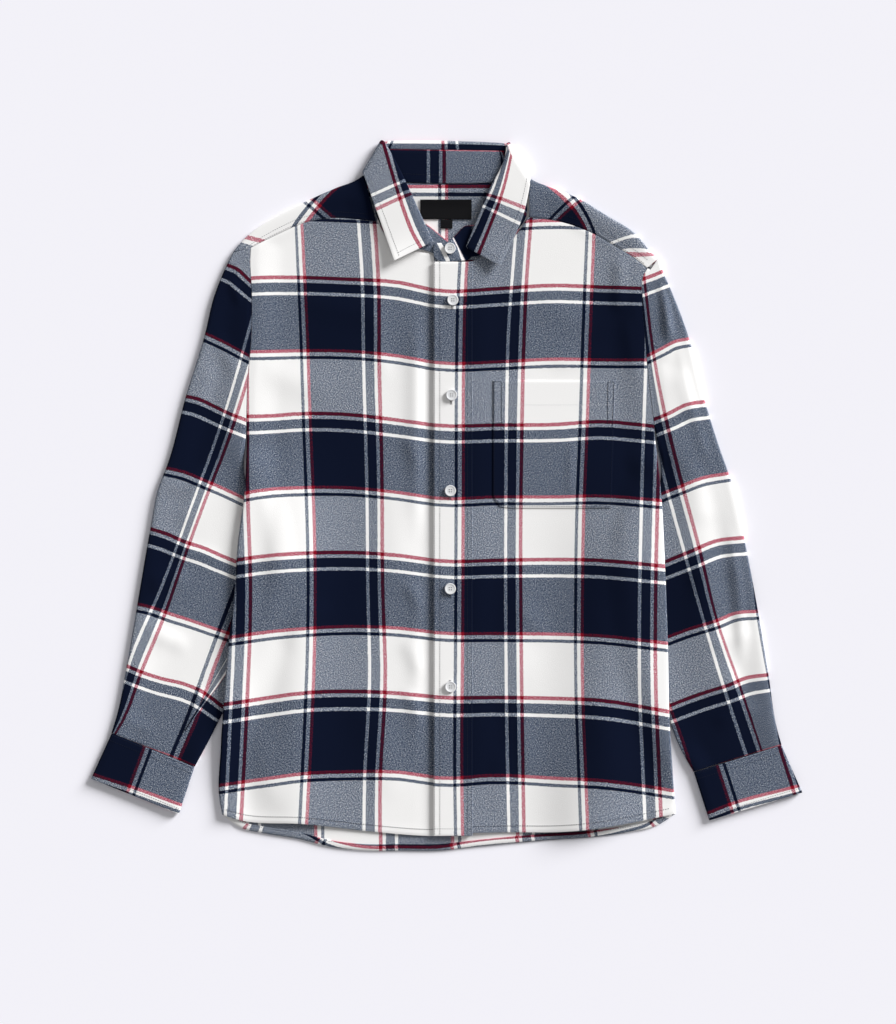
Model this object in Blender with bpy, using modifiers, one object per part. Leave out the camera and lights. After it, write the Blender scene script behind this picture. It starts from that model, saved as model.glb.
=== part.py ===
"""Plaid flannel shirt, men's medium, laid flat on its back with the front up.

Every piece is a sheet: a grid whose points follow the garment's middle surface, given its wall by
Solidify. Lengths are in millimetres here and become metres when a mesh is made. +X is the wearer's
left, +Y points to the collar, Z is up, and the floor is z = 0. The origin is the middle of the
underside of the shirt's box.
"""
import math

import bmesh
import bpy
import numpy as np

# Cloth
MM = 0.001
CLOTH = 1.2            # one layer of brushed flannel
DOUBLE = 1.8           # collar and cuffs: two layers and an interlining
BAND = 1.6             # placket: two pressed layers
LABEL = 1.0
GAP = 0.3              # between neighbouring pieces
SEAM = 0.22            # each piece stops this far short of a seam line
FOLD = 2.2             # mid-wall radius of the soft fold down each side and along the shoulders
SEAM_SWEEP = math.radians(80)   # how far a side fold turns before its seam at half height

# Heights of the middle surface above the floor
FLOOR_LAYER = CLOTH / 2
FRONT_REST = 2.5       # front panel where it lies on the back
PUFF_REACH = 36        # the fold's fullness dies out this far in from an edge
UNDERLAP = 2.2         # button side, where the placket covers it
OVERLAP = 3.8          # buttonhole side beside and under the placket
LIFT = 4.6             # the body's sides lie this much higher, over the sleeves
LIFT_FLAT = 8
LIFT_REACH = 37
LIFT_START = 32        # length below the armpit in which the side climbs on to the sleeve
CURL_START = 20        # length above the armpit in which the armhole seam curls down
NECK_LIFT = 2.4        # the back neck seam lies on the turned-down collar
NECK_FLAT = 8
NECK_REACH = 22
NECK_FULL = (22, 34)   # the collar holds the front up this far round the shoulder's neck point
TUCK_FOLD = 1.3        # mid-wall radius of a sleeve's edge under the body
EDGE_CALM = (4, 20)    # folds start this far in from an edge and reach full height over this much
PLACKET_CALM = (4, 12)
NARROW = (6, 30)       # the buttonhole side comes down to its place beside the placket
NARROW_UNDER = (2, 22)
YOKE_SEAM_Y = 250      # back yoke seam

# Outlines, (x, y) from the top down; the wearer's right is -X
SHOULDER = {
    "right": [(-92.7, 366.2), (-100, 361), (-127.7, 349.9), (-162.9, 333.9), (-191.6, 319.5),
              (-222.1, 300.3), (-239.6, 281.9), (-243.6, 276.4)],
    "left": [(92.0, 362.6), (99.5, 358.4), (114.7, 352.6), (148.3, 339.5), (181.9, 319.5),
             (215.5, 297.9), (233.1, 277.1), (241.5, 269.6)],
}
ARMHOLE = {
    "right": [(-222.9, 282.1), (-223.7, 272.3), (-222.1, 234.3), (-222.1, 188.7), (-227.1, 122.5),
              (-228.2, 63.3)],
    "left": [(228.3, 258.8), (223.4, 249.6), (222.2, 229.1), (225.2, 188.7), (229.1, 137.9),
             (238.3, 62.1)],
}
SIDE = {
    "right": [(-228.2, 63.3), (-230.2, 6.3), (-237.9, -52.6), (-242.5, -116.8), (-248.4, -165.9),
              (-254.6, -242.2), (-257.6, -287.8), (-259.1, -348.8), (-256.2, -363.1)],
    "left": [(238.3, 62.1), (244.3, 2.8), (248.9, -82.6), (252.1, -171.6), (253.4, -242.2),
             (258.0, -318.6), (261.2, -361.9)],
}
SLEEVE_OUTER = {
    "right": [(-243.6, 276.4), (-252.7, 258.2), (-265.3, 226.3), (-275.5, 184.1), (-297.2, 113.4),
              (-318.9, 33.6), (-328.0, 10.7), (-338.2, -40.5), (-352.3, -122.5), (-364.5, -193.2),
              (-375.2, -247.9), (-382.0, -270.4)],
    "left": [(241.5, 269.6), (245.9, 256.3), (255.5, 234.3), (273.1, 188.7), (293.3, 110.5),
             (308.5, 61.6), (325.2, 12.7), (338.9, -48.0), (354.3, -128.9), (366.5, -202.3),
             (377.2, -268.5), (381.7, -283.9)],
}
SLEEVE_INNER = {
    "right": [(-228.2, 63.3), (-230.1, 25.1), (-222.2, -5), (-214.1, -37.9), (-209.4, -78.5),
              (-214.0, -122.1), (-225.4, -176.1), (-240.2, -221.7), (-256.2, -251.4),
              (-268.7, -276.2), (-286.5, -309.1)],
    "left": [(238.3, 62.1), (243.5, 24.1), (238.3, -5), (229.3, -37.9), (223.8, -78.5),
             (226.1, -122.1), (232.9, -176.1), (243.2, -221.7), (253.4, -257.1),
             (264.8, -286.7), (280.8, -315.2)],
}
CUFF_END = {"right": [(-304.2, -362.6), (-405.5, -322.0)], "left": [(298.2, -369.9), (405.52, -337.8)]}

# Seams and hems, (x, y) from the side towards the middle
YOKE_FRONT = {
    "right": [(-222.9, 282.1), (-191.6, 297.9), (-161.3, 310.6), (-137.3, 315.4), (-78.9, 312.2)],
    "left": [(228.3, 258.8), (205.9, 275.5), (196.3, 281.1), (165.9, 298.7), (130.8, 311.4),
             (92.3, 317.1)],
}
NECK_FRONT = {
    "right": [(-78.9, 312.2), (-64.6, 290.3), (-48.0, 281.0), (-32.0, 277.6), (-21.0, 276.0),
              (-12.0, 271.0), (-4.0, 266.0), (8.0, 265.2), (28.8, 265.2)],
    "left": [(92.3, 317.1), (79.0, 297.0), (60.8, 284.2), (42.5, 273.8), (28.8, 266.8),
             (14.0, 265.4), (-15, 265.4)],
}
NECK_BACK = [(-92.7, 366.2), (-70.3, 359.1), (-41.8, 356.2), (0, 355.1), (38, 355.7),
             (66.5, 358.0), (91.0, 363.6)]
FRONT_EDGE = {"right": 28.0, "left": -14.4}
FRONT_HEM = {
    "right": [(-256.2, -363.1), (-235, -369.7), (-164, -373.8), (-92.2, -382.0), (-19.4, -387.7),
              (28, -387.2)],
    "left": [(261.2, -361.9), (219.2, -370.6), (171.9, -378.3), (124.6, -382.9), (67.6, -383.6),
             (17, -384.7), (-14.4, -387.2)],
}
BACK_HEM = [(-256.2, -363.5), (-233.9, -379.0), (-209.4, -384.7), (-164, -392.4), (-139.4, -398.9),
            (-92.2, -404.7), (-54.4, -404.7), (2.4, -403.8), (17, -402.0), (77.4, -395.8),
            (105.8, -393.3), (162.6, -389.5), (200.3, -384.7), (240, -376), (261.2, -362.3)]

# Largest folds of the top layers: a ridge from (x0, y0) to (x1, y1), its half width and height
BODY_FOLDS = [
    # x0,    y0,    x1,    y1, half, height
    (-190, 225, -60, 190, 20, 1.2),
    (-215, 150, -120, 120, 22, 1.4),
    (-70, 60, -60, -150, 24, 1.3),
    (-160, 20, -150, -200, 26, 1.2),
    (-30, 200, -34, -120, 11, 1.6),
    (-110, -210, -60, -360, 24, 1.4),
    (-215, -250, -190, -365, 20, 1.3),
    (196, 268, 193, 200, 14, 1.8),
    (100, 230, 180, 190, 22, 1.1),
    (210, 60, 180, -130, 24, 1.3),
    (90, -60, 80, -240, 28, 1.4),
    (150, -200, 190, -360, 24, 1.4),
    (60, -280, 50, -380, 18, 1.2),
    (167, -100, 160, -420, 36, 5.4),
    (-166, -30, -171, -330, 34, 4.1),
]
SLEEVE_FOLDS = {
    "right": [
        (-252, 250, -232, 215, 9, 1.4),
        (-285, 90, -262, 150, 16, 1.3),
        (-346, -106, -290, -90, 14, 2.0),
        (-310, -40, -280, 40, 18, 1.3),
        (-350, -220, -310, -150, 16, 1.4),
        (-279, -242, -298, -271, 9, 1.8),
    ],
    "left": [
        (243, 242, 262, 205, 9, 1.4),
        (285, 80, 262, 150, 16, 1.3),
        (326, -44, 335, -197, 11, 2.2),
        (290, -40, 280, 40, 18, 1.3),
        (330, -250, 318, -190, 14, 1.5),
        (300, -130, 290, -60, 16, 1.2),
        (256, 150, 312, -240, 26, 2.6),
    ],
}

# Collar: corner where its fold turns over the shoulder, the leaf's edge there, and what follows
CREASE_TOP = {"right": (-74.9, 405.8), "left": (71.8, 403.4)}
CREASE_EDGE = {"right": (-96.0, 369.6), "left": (94.6, 365.3)}
ROLL = 1.3             # mid-wall radius of the roll between stand and leaf
STAND_FALL = 42        # crest to neck seam at the crease
LEAF_BACK_FALL = 49    # crest to the leaf's edge at the middle of the back
ROLL_STRIP = 11        # leaf that shows above the stand, inside the back of the neck
LEAF_FOLD = {
    "right": [(-66.1, 395.6), (-14.5, 289.0)],
    "left": [(66.8, 391.0), (45.0, 342.8), (21.6, 283.6)],
}
LEAF_EDGE = {
    "right": [(-93.7, 363.0), (-59.5, 266.6)],
    "left": [(95.5, 357.0), (88.0, 322.0), (61.0, 260.0)],
}
NECK_RUN = {
    "right": [(-86, 342), (-77.6, 313.2), (-63.6, 292.3), (-47.4, 283.1), (-31.5, 279.7)],
    "left": [(90.6, 340), (90.8, 318.2), (77.9, 299.2), (60.0, 286.5), (42.0, 276.1), (28.8, 269.0)],
}
# along the front of each side, from the crease (0) to the collar's front end (1)
COLLAR_HEIGHTS = {
    #          place, stand top, roll, leaf edge
    "right": [(0.0, 6.2, 7.5, 8.8), (0.4, 6.2, 7.5, 8.5), (0.65, 5.3, 7.2, 7.8),
              (0.8, 3.8, 7.4, 8.8), (0.9, 3.5, 7.1, 10.0), (1.0, 2.8, 6.7, 11.4)],
    "left": [(0.0, 6.2, 7.5, 8.8), (0.4, 6.2, 7.5, 8.5), (0.65, 5.5, 6.8, 7.8),
             (0.8, 2.8, 6.3, 8.6), (0.9, 2.8, 6.25, 10.0), (1.0, 2.8, 6.25, 11.4)],
}
STAND_UNDER_END = [
    # top x, top y, foot x, foot y, z
    (11, 281.0, 11, 268.0, 2.4),
    (5, 286.5, 5, 266.6, 2.4),
    (-2, 292.0, -3, 267.6, 2.5),
    (-11, 299.5, -14, 275.4, 2.7),
    (-19, 306.0, -25, 279.2, 3.2),
]
STAND_STOP = 0.8       # along each front the stand follows the leaf to here
STAND_TAB = [
    # top x, top y, foot x, foot y, z
    (25.0, 307.5, 36.0, 272.8, 2.8), (19.2, 306.1, 28.5, 272.0, 2.8), (12.5, 298.8, 26.0, 269.5, 2.8),
    (8.4, 294.8, 22.5, 267.8, 3.6), (3.5, 290.0, 15.0, 267.2, 4.95), (-3, 287.6, 4, 266.6, 4.95),
    (-9, 287.2, -7, 266.4, 4.95), (-12.5, 286.6, -11.6, 268.4, 4.95), (-15.6, 280.5, -14.6, 273.0, 4.95),
]
TAB_Z = 4.95           # under the collar button

# Placket, pocket, label and buttons
PLACKET_X = (-15.0, 29.4)
PLACKET_Y = (265.9, -387.2)
POCKET_TOP = ((52.6, 131.1), (192.1, 130.5))
POCKET_FOOT = ((60.8, -13.1), (187.3, -14.2))
POCKET_SIDE_X = 52.8
POCKET_CHAMFER_Y = -1.7
POCKET_SEAT = 0.45
LABEL_X = (-30.2, 28.4)
LABEL_Y = (336.9, 314.6)
TAG_X = (-6.7, 6.6)
TAG_Y = (314.2, 304.4)
PATCH_SEAT = 0.45
BUTTON_RADIUS = 6.35
BUTTON_HEIGHT = 2.6
BUTTON_DISH = 0.7
BUTTON_RIM = 4.6
HOLE_RADIUS = 0.75
HOLE_SPACING = 1.25
BUTTON_STEPS = 16
BUTTONS = [
    # name, x, y
    ("button_collar", 3.8, 281.0),
    ("button_1", 7.0, 222.3),
    ("button_2", 5.6, 114.2),
    ("button_3", 4.2, 5.4),
    ("button_4", 4.1, -106.0),
    ("button_5", 4.4, -217.5),
]

COLOURS = {
    "fabric": (0.30, 0.31, 0.36, 0.95),
    "fabric_collar": (0.24, 0.25, 0.31, 0.95),
    "button_plastic": (0.82, 0.82, 0.80, 0.35),
    "label_woven": (0.012, 0.012, 0.014, 0.8),
}


def smooth(t):
    t = np.clip(t, 0, 1)
    return t * t * (3 - 2 * t)


def line(rows, samples=160):
    """A smooth line through the rows of a table, as evenly spaced points."""
    rows = np.array(rows, float)
    step = np.linalg.norm(np.diff(rows, axis=0), axis=1)
    knots = np.concatenate([[0], np.cumsum(step)])
    slope = np.gradient(rows, knots, axis=0)
    at = np.linspace(0, knots[-1], samples)
    k = np.clip(np.searchsorted(knots, at, side="right") - 1, 0, len(step) - 1)
    h = (knots[k + 1] - knots[k])[:, None]
    t = (at - knots[k])[:, None] / h
    return ((2 * t**3 - 3 * t**2 + 1) * rows[k] + (t**3 - 2 * t**2 + t) * h * slope[k]
            + (3 * t**2 - 2 * t**3) * rows[k + 1] + (t**3 - t**2) * h * slope[k + 1])


def along(points, fraction):
    """Points at fractions of a line's length."""
    step = np.linalg.norm(np.diff(points, axis=0), axis=1)
    length = np.concatenate([[0], np.cumsum(step)])
    want = np.asarray(fraction) * length[-1]
    return np.stack([np.interp(want, length, points[:, i]) for i in range(points.shape[1])], axis=-1)


def x_at(points, y):
    order = np.argsort(points[:, 1])
    return np.interp(y, points[order, 1], points[order, 0])


def y_at(points, x):
    order = np.argsort(points[:, 0])
    return np.interp(x, points[order, 0], points[order, 1])


def distance(x, y, points):
    """Plan distance from (x, y) to a line of points."""
    a, b = points[:-1], points[1:]
    d = b - a
    px = np.asarray(x, float)[..., None] - a[:, 0]
    py = np.asarray(y, float)[..., None] - a[:, 1]
    t = np.clip((px * d[:, 0] + py * d[:, 1]) / (d**2).sum(1), 0, 1)
    return np.hypot(px - t * d[:, 0], py - t * d[:, 1]).min(-1)


def ridges(x, y, table):
    """Summed height of a table of folds."""
    total = np.zeros(np.broadcast(x, y).shape)
    for x0, y0, x1, y1, half, height in table:
        away = distance(x, y, np.array([(x0, y0), (x1, y1)], float))
        total += height * (1 - smooth(away / (1.6 * half)))
    return total


SIDES = ("right", "left")
SIGN = {"right": -1, "left": 1}
ARMPIT_Y = {s: ARMHOLE[s][-1][1] for s in SIDES}
ABOVE_ARMPIT = [0, 6, 14, 27, 57, 97, 137, 177]   # places along the armhole that pieces share


def shared_armhole(side):
    """The armhole as straight runs between the places that front, back and sleeve share."""
    smooth_line = line(ARMHOLE[side])
    ys = [ARMHOLE[side][0][1]] + [ARMPIT_Y[side] + up for up in ABOVE_ARMPIT[::-1]]
    return np.array([(x_at(smooth_line, y), y) for y in ys])


YOKE_STATIONS = [0, 0.06, 0.16, 0.3, 0.46, 0.62, 0.78, 0.9, 1]
yoke_front_line = {s: along(line(YOKE_FRONT[s]), YOKE_STATIONS) for s in SIDES}
shoulder_line = {s: line(SHOULDER[s]) for s in SIDES}
armhole_line = {s: shared_armhole(s) for s in SIDES}
side_line = {s: line(SIDE[s]) for s in SIDES}
outer_line = {s: line(SLEEVE_OUTER[s]) for s in SIDES}
inner_line = {s: line(SLEEVE_INNER[s]) for s in SIDES}
edge_line = {s: np.concatenate([armhole_line[s], side_line[s][1:]]) for s in SIDES}
outline = {s: np.concatenate([shoulder_line[s], edge_line[s]]) for s in SIDES}
neck_back_line = line(NECK_BACK)
back_hem_line = line(BACK_HEM)


def lift(x, y):
    """How much higher the body lies where a sleeve is tucked under its side."""
    x, y = np.broadcast_arrays(np.asarray(x, float), np.asarray(y, float))
    total = np.zeros(x.shape)
    for s in SIDES:
        away = distance(x, y, inner_line[s])
        over = (SIGN[s] * (x - x_at(inner_line[s], y)) > 0) & (y < ARMPIT_Y[s])
        over &= SIGN[s] * (x_at(side_line[s], y) - x_at(inner_line[s], y)) > 0
        away = np.where(over, 0, away)
        rise = 1 - smooth((away - LIFT_FLAT) / LIFT_REACH)
        total = np.maximum(total, rise * smooth((ARMPIT_Y[s] - y) / LIFT_START))
    return LIFT * total


def back_z(x, y):
    """Middle surface of the back panel and the back of the yoke."""
    neck = 1 - smooth((distance(x, y, neck_back_line) - NECK_FLAT) / NECK_REACH)
    return FLOOR_LAYER + lift(x, y) + NECK_LIFT * neck


def front_z(x, y, side):
    """Middle surface of a front and of the yoke's front edge."""
    away = distance(x, y, outline[side])
    full = 1 - smooth((away - FOLD - 1) / PUFF_REACH)
    neck = np.hypot(x - SHOULDER[side][0][0], y - SHOULDER[side][0][1])
    full = np.maximum(full, 1 - smooth((neck - NECK_FULL[0]) / NECK_FULL[1]))
    z = FRONT_REST + (FLOOR_LAYER + 2 * FOLD - FRONT_REST) * full
    beside = x - PLACKET_X[1] - sum(PLACKET_CALM) - 8 if side == "left" else (
        PLACKET_X[0] - PLACKET_CALM[0] - x)
    calm = smooth((away - EDGE_CALM[0]) / EDGE_CALM[1]) * smooth(beside / PLACKET_CALM[1])
    z = z + ridges(x, y, BODY_FOLDS) * calm
    if side == "left":
        centre = 1 - smooth((x - PLACKET_X[1] - NARROW[0]) / NARROW[1])
        z = z + (OVERLAP - z) * centre
    else:
        centre = 1 - smooth((PLACKET_X[0] - NARROW_UNDER[0] - x) / NARROW_UNDER[1])
        z = z + (UNDERLAP - z) * centre
    return z + lift(x, y)


def curl(y, side):
    """0 above the armpit, 1 at it and below: how far the edge turns over."""
    return 1 - smooth((y - ARMPIT_Y[side]) / CURL_START)


def turned_edge(x, y, side, z, other, turn):
    """Offset inwards and height of a wall that rolls over a side edge.

    z and other are this layer's and the facing layer's heights inside the fold; turn runs from
    0, where the roll starts, to 1 at the seam.
    """
    k = np.maximum(curl(y, side), 0.02)
    radius = (z - other) / 2 / k
    sweep = SEAM_SWEEP * k
    end = SEAM + CLOTH / 2 * np.sin(sweep)
    inward = end + np.abs(radius) * (np.sin(sweep) - np.sin(sweep * turn))
    return inward, z - radius * (1 - np.cos(sweep * turn))


def sheet(name, grids, wall, material, closed=False):
    """A piece of cloth: one or more grids of points, welded where they meet, with a wall."""
    parts = bmesh.new()
    for grid in grids:
        rows, cols, _ = grid.shape
        bpy.ops.mesh.primitive_grid_add(x_subdivisions=cols - 1, y_subdivisions=rows - 1, size=1)
        base = bpy.context.object
        for vertex, point in zip(base.data.vertices, grid.reshape(-1, 3)):
            vertex.co = point * MM
        parts.from_mesh(base.data)
        spare = base.data
        bpy.data.objects.remove(base)
        bpy.data.meshes.remove(spare)
    if closed or len(grids) > 1:
        bmesh.ops.remove_doubles(parts, verts=parts.verts, dist=0.00002)
    bmesh.ops.recalc_face_normals(parts, faces=parts.faces)
    mesh = bpy.data.meshes.new(name)
    parts.to_mesh(mesh)
    parts.free()
    piece = bpy.data.objects.new(name, mesh)
    shirt.objects.link(piece)
    mesh.materials.append(materials[material])
    mesh.shade_smooth()
    shell = piece.modifiers.new("wall", "SOLIDIFY")
    shell.thickness = wall * MM
    shell.offset = 0
    shell.use_even_offset = True
    return piece


TURNS = [1, 0.66, 0.33, 0]
SPANS = [9, 20, 32, 45, 62, 92]
BELOW_ARMPIT = [-12, -24, -40, -64, -100, -142, -186, -230, -274, -312, -346, -378, -402]
HEM_ROWS = [0.5, 1]
TOP_ROWS = (0, 0.5)
FRONT_TOP_LEVEL = 177  # highest shared place of a front's rows above the armpit
BACK_TOP_LEVEL = 137
ROLL_WIDTH = 3.4       # the roll takes this much of the panel's edge
INNER_COLUMNS = (99, 91, 74, 52, 32, 15, 0)   # distances from a front's edge


def panel_ys(top, hem, armpit, top_share, first):
    """Heights of a panel's rows down one column, from its top edge to its hem."""
    levels = [armpit + up for up in ABOVE_ARMPIT[::-1] if up <= first]
    levels += [armpit + down for down in BELOW_ARMPIT]
    upper = [top + (levels[0] - top) * t for t in top_share]
    return upper + levels + [levels[-1] + (hem - levels[-1]) * t for t in HEM_ROWS]


def front_panel(side):
    """Front: yoke seam and neckline to hem, side edge to front edge."""
    sign = SIGN[side]
    top = np.concatenate([yoke_front_line[side], line(NECK_FRONT[side])[1:]])
    hem = line(FRONT_HEM[side])
    to_neck = abs(NECK_FRONT[side][0][0] - FRONT_EDGE[side])
    columns = [("turn", t) for t in TURNS] + [("span", d) for d in SPANS]
    columns += [("inner", d) for d in (to_neck, *INNER_COLUMNS)]
    grid = []
    for kind, value in columns:
        x = FRONT_EDGE[side] + sign * 150.0
        rows = panel_ys(y_at(top, x), y_at(hem, x), ARMPIT_Y[side], TOP_ROWS, FRONT_TOP_LEVEL)
        column = []
        for i, y in enumerate(rows):
            for _ in range(6):
                edge = x_at(edge_line[side], y)
                near = edge - sign * ROLL_WIDTH
                if kind == "turn":
                    z, other = front_z(near, y, side), back_z(near, y)
                    inward, height = turned_edge(near, y, side, z, other, value)
                    x = edge - sign * inward
                else:
                    x = edge - sign * value if kind == "span" else FRONT_EDGE[side] + sign * value
                ends = y_at(top, x) - SEAM, y_at(hem, x)
                y = panel_ys(*ends, ARMPIT_Y[side], TOP_ROWS, FRONT_TOP_LEVEL)[i]
            if kind != "turn":
                height = front_z(x, y, side)
            column.append((x, y, float(height)))
        grid.append(column)
    return np.array(grid)


def back_panel():
    """Back: yoke seam to the longer tail, side edge to side edge."""
    half = [("turn", t) for t in TURNS] + [("span", d) for d in SPANS]
    columns = [("right", *c) for c in half] + [("right", "middle", x) for x in (-75, -25)]
    columns += [("left", "middle", x) for x in (25, 75)] + [("left", *c) for c in half[::-1]]
    grid = []
    for side, kind, value in columns:
        sign = SIGN[side]
        armpit = ARMPIT_Y[side] if kind != "middle" else sum(ARMPIT_Y.values()) / 2
        x = sign * 100.0
        rows = panel_ys(YOKE_SEAM_Y, y_at(back_hem_line, x), armpit, TOP_ROWS, BACK_TOP_LEVEL)
        column = []
        for i, y in enumerate(rows):
            for _ in range(6):
                edge = x_at(edge_line[side], y)
                near = edge - sign * ROLL_WIDTH
                if kind == "turn":
                    z, other = back_z(near, y), front_z(near, y, side)
                    inward, height = turned_edge(near, y, side, z, other, value)
                    x = edge - sign * inward
                else:
                    x = edge - sign * value if kind == "span" else float(value)
                ends = YOKE_SEAM_Y - SEAM, y_at(back_hem_line, x)
                y = panel_ys(*ends, armpit, TOP_ROWS, BACK_TOP_LEVEL)[i]
            if kind != "turn":
                height = back_z(x, y)
            column.append((x, y, float(height)))
        grid.append(column)
    return np.array(grid)


def seam_arc(start, inward, low, high, places):
    """Quarter turns of a fold whose outermost point is start, seen along the inward direction."""
    radius = (high - low) / 2
    middle = (high + low) / 2
    points = []
    for angle in places:
        reach = CLOTH / 2 + radius * (1 - math.cos(angle))
        x, y = np.array(start) + np.array(inward) * reach
        points.append((x, y, middle + radius * math.sin(angle)))
    return points


def unit(v):
    v = np.array(v, float)
    return v / np.linalg.norm(v)


BACK_STATIONS = [0.08, 0.2, 0.35, 0.5, 0.65, 0.8, 0.92]
ARC = [math.radians(a) for a in (90, 50, 0, -50, -90)]
YOKE_BACK_ROWS = [0, 0.3, 0.55, 0.7, 0.83, 0.96]
YOKE_FRONT_ROWS = [0.3, 0.65, 1]
ARMHOLE_CLEAR = (-0.25, 0.5)   # the yoke's ends keep this clear of the sleeve and the collar
NECK_CLEAR = (1.6, -0.6)
NECK_SEAM_CLEAR = (1.6, 0.15)
BACK_NECK_CLEAR = 1.0


def yoke_side(side):
    """One shoulder of the yoke: back seam, over the shoulder fold, to the front seam."""
    sign = SIGN[side]
    armhole_foot = np.array((x_at(armhole_line[side], YOKE_SEAM_Y), YOKE_SEAM_Y))
    neck_foot_x = SHOULDER[side][0][0]
    grid = np.zeros((len(YOKE_STATIONS), len(YOKE_BACK_ROWS) + len(ARC) + len(YOKE_FRONT_ROWS), 3))
    for i, place in enumerate(YOKE_STATIONS):
        fold = along(shoulder_line[side], 1 - place)
        front = yoke_front_line[side][i]
        back_x = armhole_foot[0] + (neck_foot_x - armhole_foot[0]) * place
        back = np.array((back_x, armhole_foot[1]))
        if i == 0:
            fold = fold + np.array((sign * ARMHOLE_CLEAR[0], ARMHOLE_CLEAR[1]))
            front = front + np.array((-sign * SEAM, 0))
            back = back + np.array((-sign * SEAM, 0))
        if i == len(YOKE_STATIONS) - 1:
            fold = fold + np.array((sign * NECK_CLEAR[0], NECK_CLEAR[1]))
            front = front + np.array((sign * NECK_SEAM_CLEAR[0], NECK_SEAM_CLEAR[1]))
            back = back + np.array((sign * BACK_NECK_CLEAR, 0))
        front = front + np.array((0, SEAM))
        back = back + np.array((0, SEAM))
        up, down = unit(front - fold), unit(back - fold)
        low = float(back_z(*(fold + down * 3)))
        high = FLOOR_LAYER + 2 * FOLD + 0.2 * smooth((place - 0.8) / 0.2)
        reach = CLOTH / 2 + (high - low) / 2
        points = []
        for t in YOKE_BACK_ROWS:
            x, y = back + (fold + down * reach - back) * t
            z = float(back_z(x, y))
            points.append((x, y, z + (low - z) * smooth((t - 0.6) / 0.4)))
        points += seam_arc(fold, down, low, high, ARC[:2:-1])
        points += seam_arc(fold, up, low, high, ARC[2::-1])
        for t in YOKE_FRONT_ROWS:
            x, y = fold + up * reach + (front - fold - up * reach) * t
            z = float(front_z(x, y, side))
            points.append((x, y, high + (z - high) * smooth(t / 0.6)))
        grid[i] = points
    return grid


def yoke_middle(right, left):
    """The yoke between the shoulders, from its back seam to the back neck seam."""
    rows = len(YOKE_BACK_ROWS)
    columns = [0] + BACK_STATIONS + [1]
    grid = np.zeros((len(columns), rows, 3))
    first, last = right[-1, :rows], left[-1, :rows]
    for i, place in enumerate(columns):
        for k in range(rows):
            foot = first[0] + (last[0] - first[0]) * place
            neck_x = first[-1, 0] + (last[-1, 0] - first[-1, 0]) * place
            neck_y = y_at(neck_back_line, neck_x) - GAP
            t = (first[k, 1] - first[0, 1]) / (first[-1, 1] - first[0, 1])
            x = foot[0] + (neck_x - foot[0]) * t
            y = foot[1] + (neck_y - foot[1]) * t
            grid[i, k] = x, y, float(back_z(x, y))
    grid[0], grid[-1] = first, last
    return grid


SLEEVE_STEPS = [0, 0.03, 0.065, 0.11, 0.17, 0.24, 0.32, 0.40, 0.48, 0.56, 0.64, 0.72, 0.80, 0.87, 0.93, 1]
EDGE_ARC = [math.radians(a) for a in (0, 40, 90)]
ACROSS = [0.16, 0.34, 0.52, 0.70, 0.86]
SLEEVE_BULGE = 16      # near the armhole the sections bow out this far from the armpit
# parts of a sleeve's length in which one form passes into the next
SPREAD_END = 0.065
TUCK_START = 0.08
TUCK_END = (0.87, 0.1)
BULGE_END = (0.09, 0.3)
ARMHOLE_END = 0.22
HEAD_END = 0.10
TUCK_REACH = 24
EDGE_REACH = 30
LOWEST_TOP = 2.3
INNER_TURNS = (0, 35, 65, 90)
UNDER_LEVEL = 162      # highest place on the armhole's back part
HEAD_SEAM = (0.55, -0.83)      # direction away from the seam at the sleeve's head


def across_line(points, t):
    """Unit direction square to a line in plan, at a fraction of its length, to its left."""
    a, b = along(points, max(t - 0.02, 0)), along(points, min(t + 0.02, 1))
    ahead = unit(b - a)
    return np.array((-ahead[1], ahead[0]))


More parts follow.
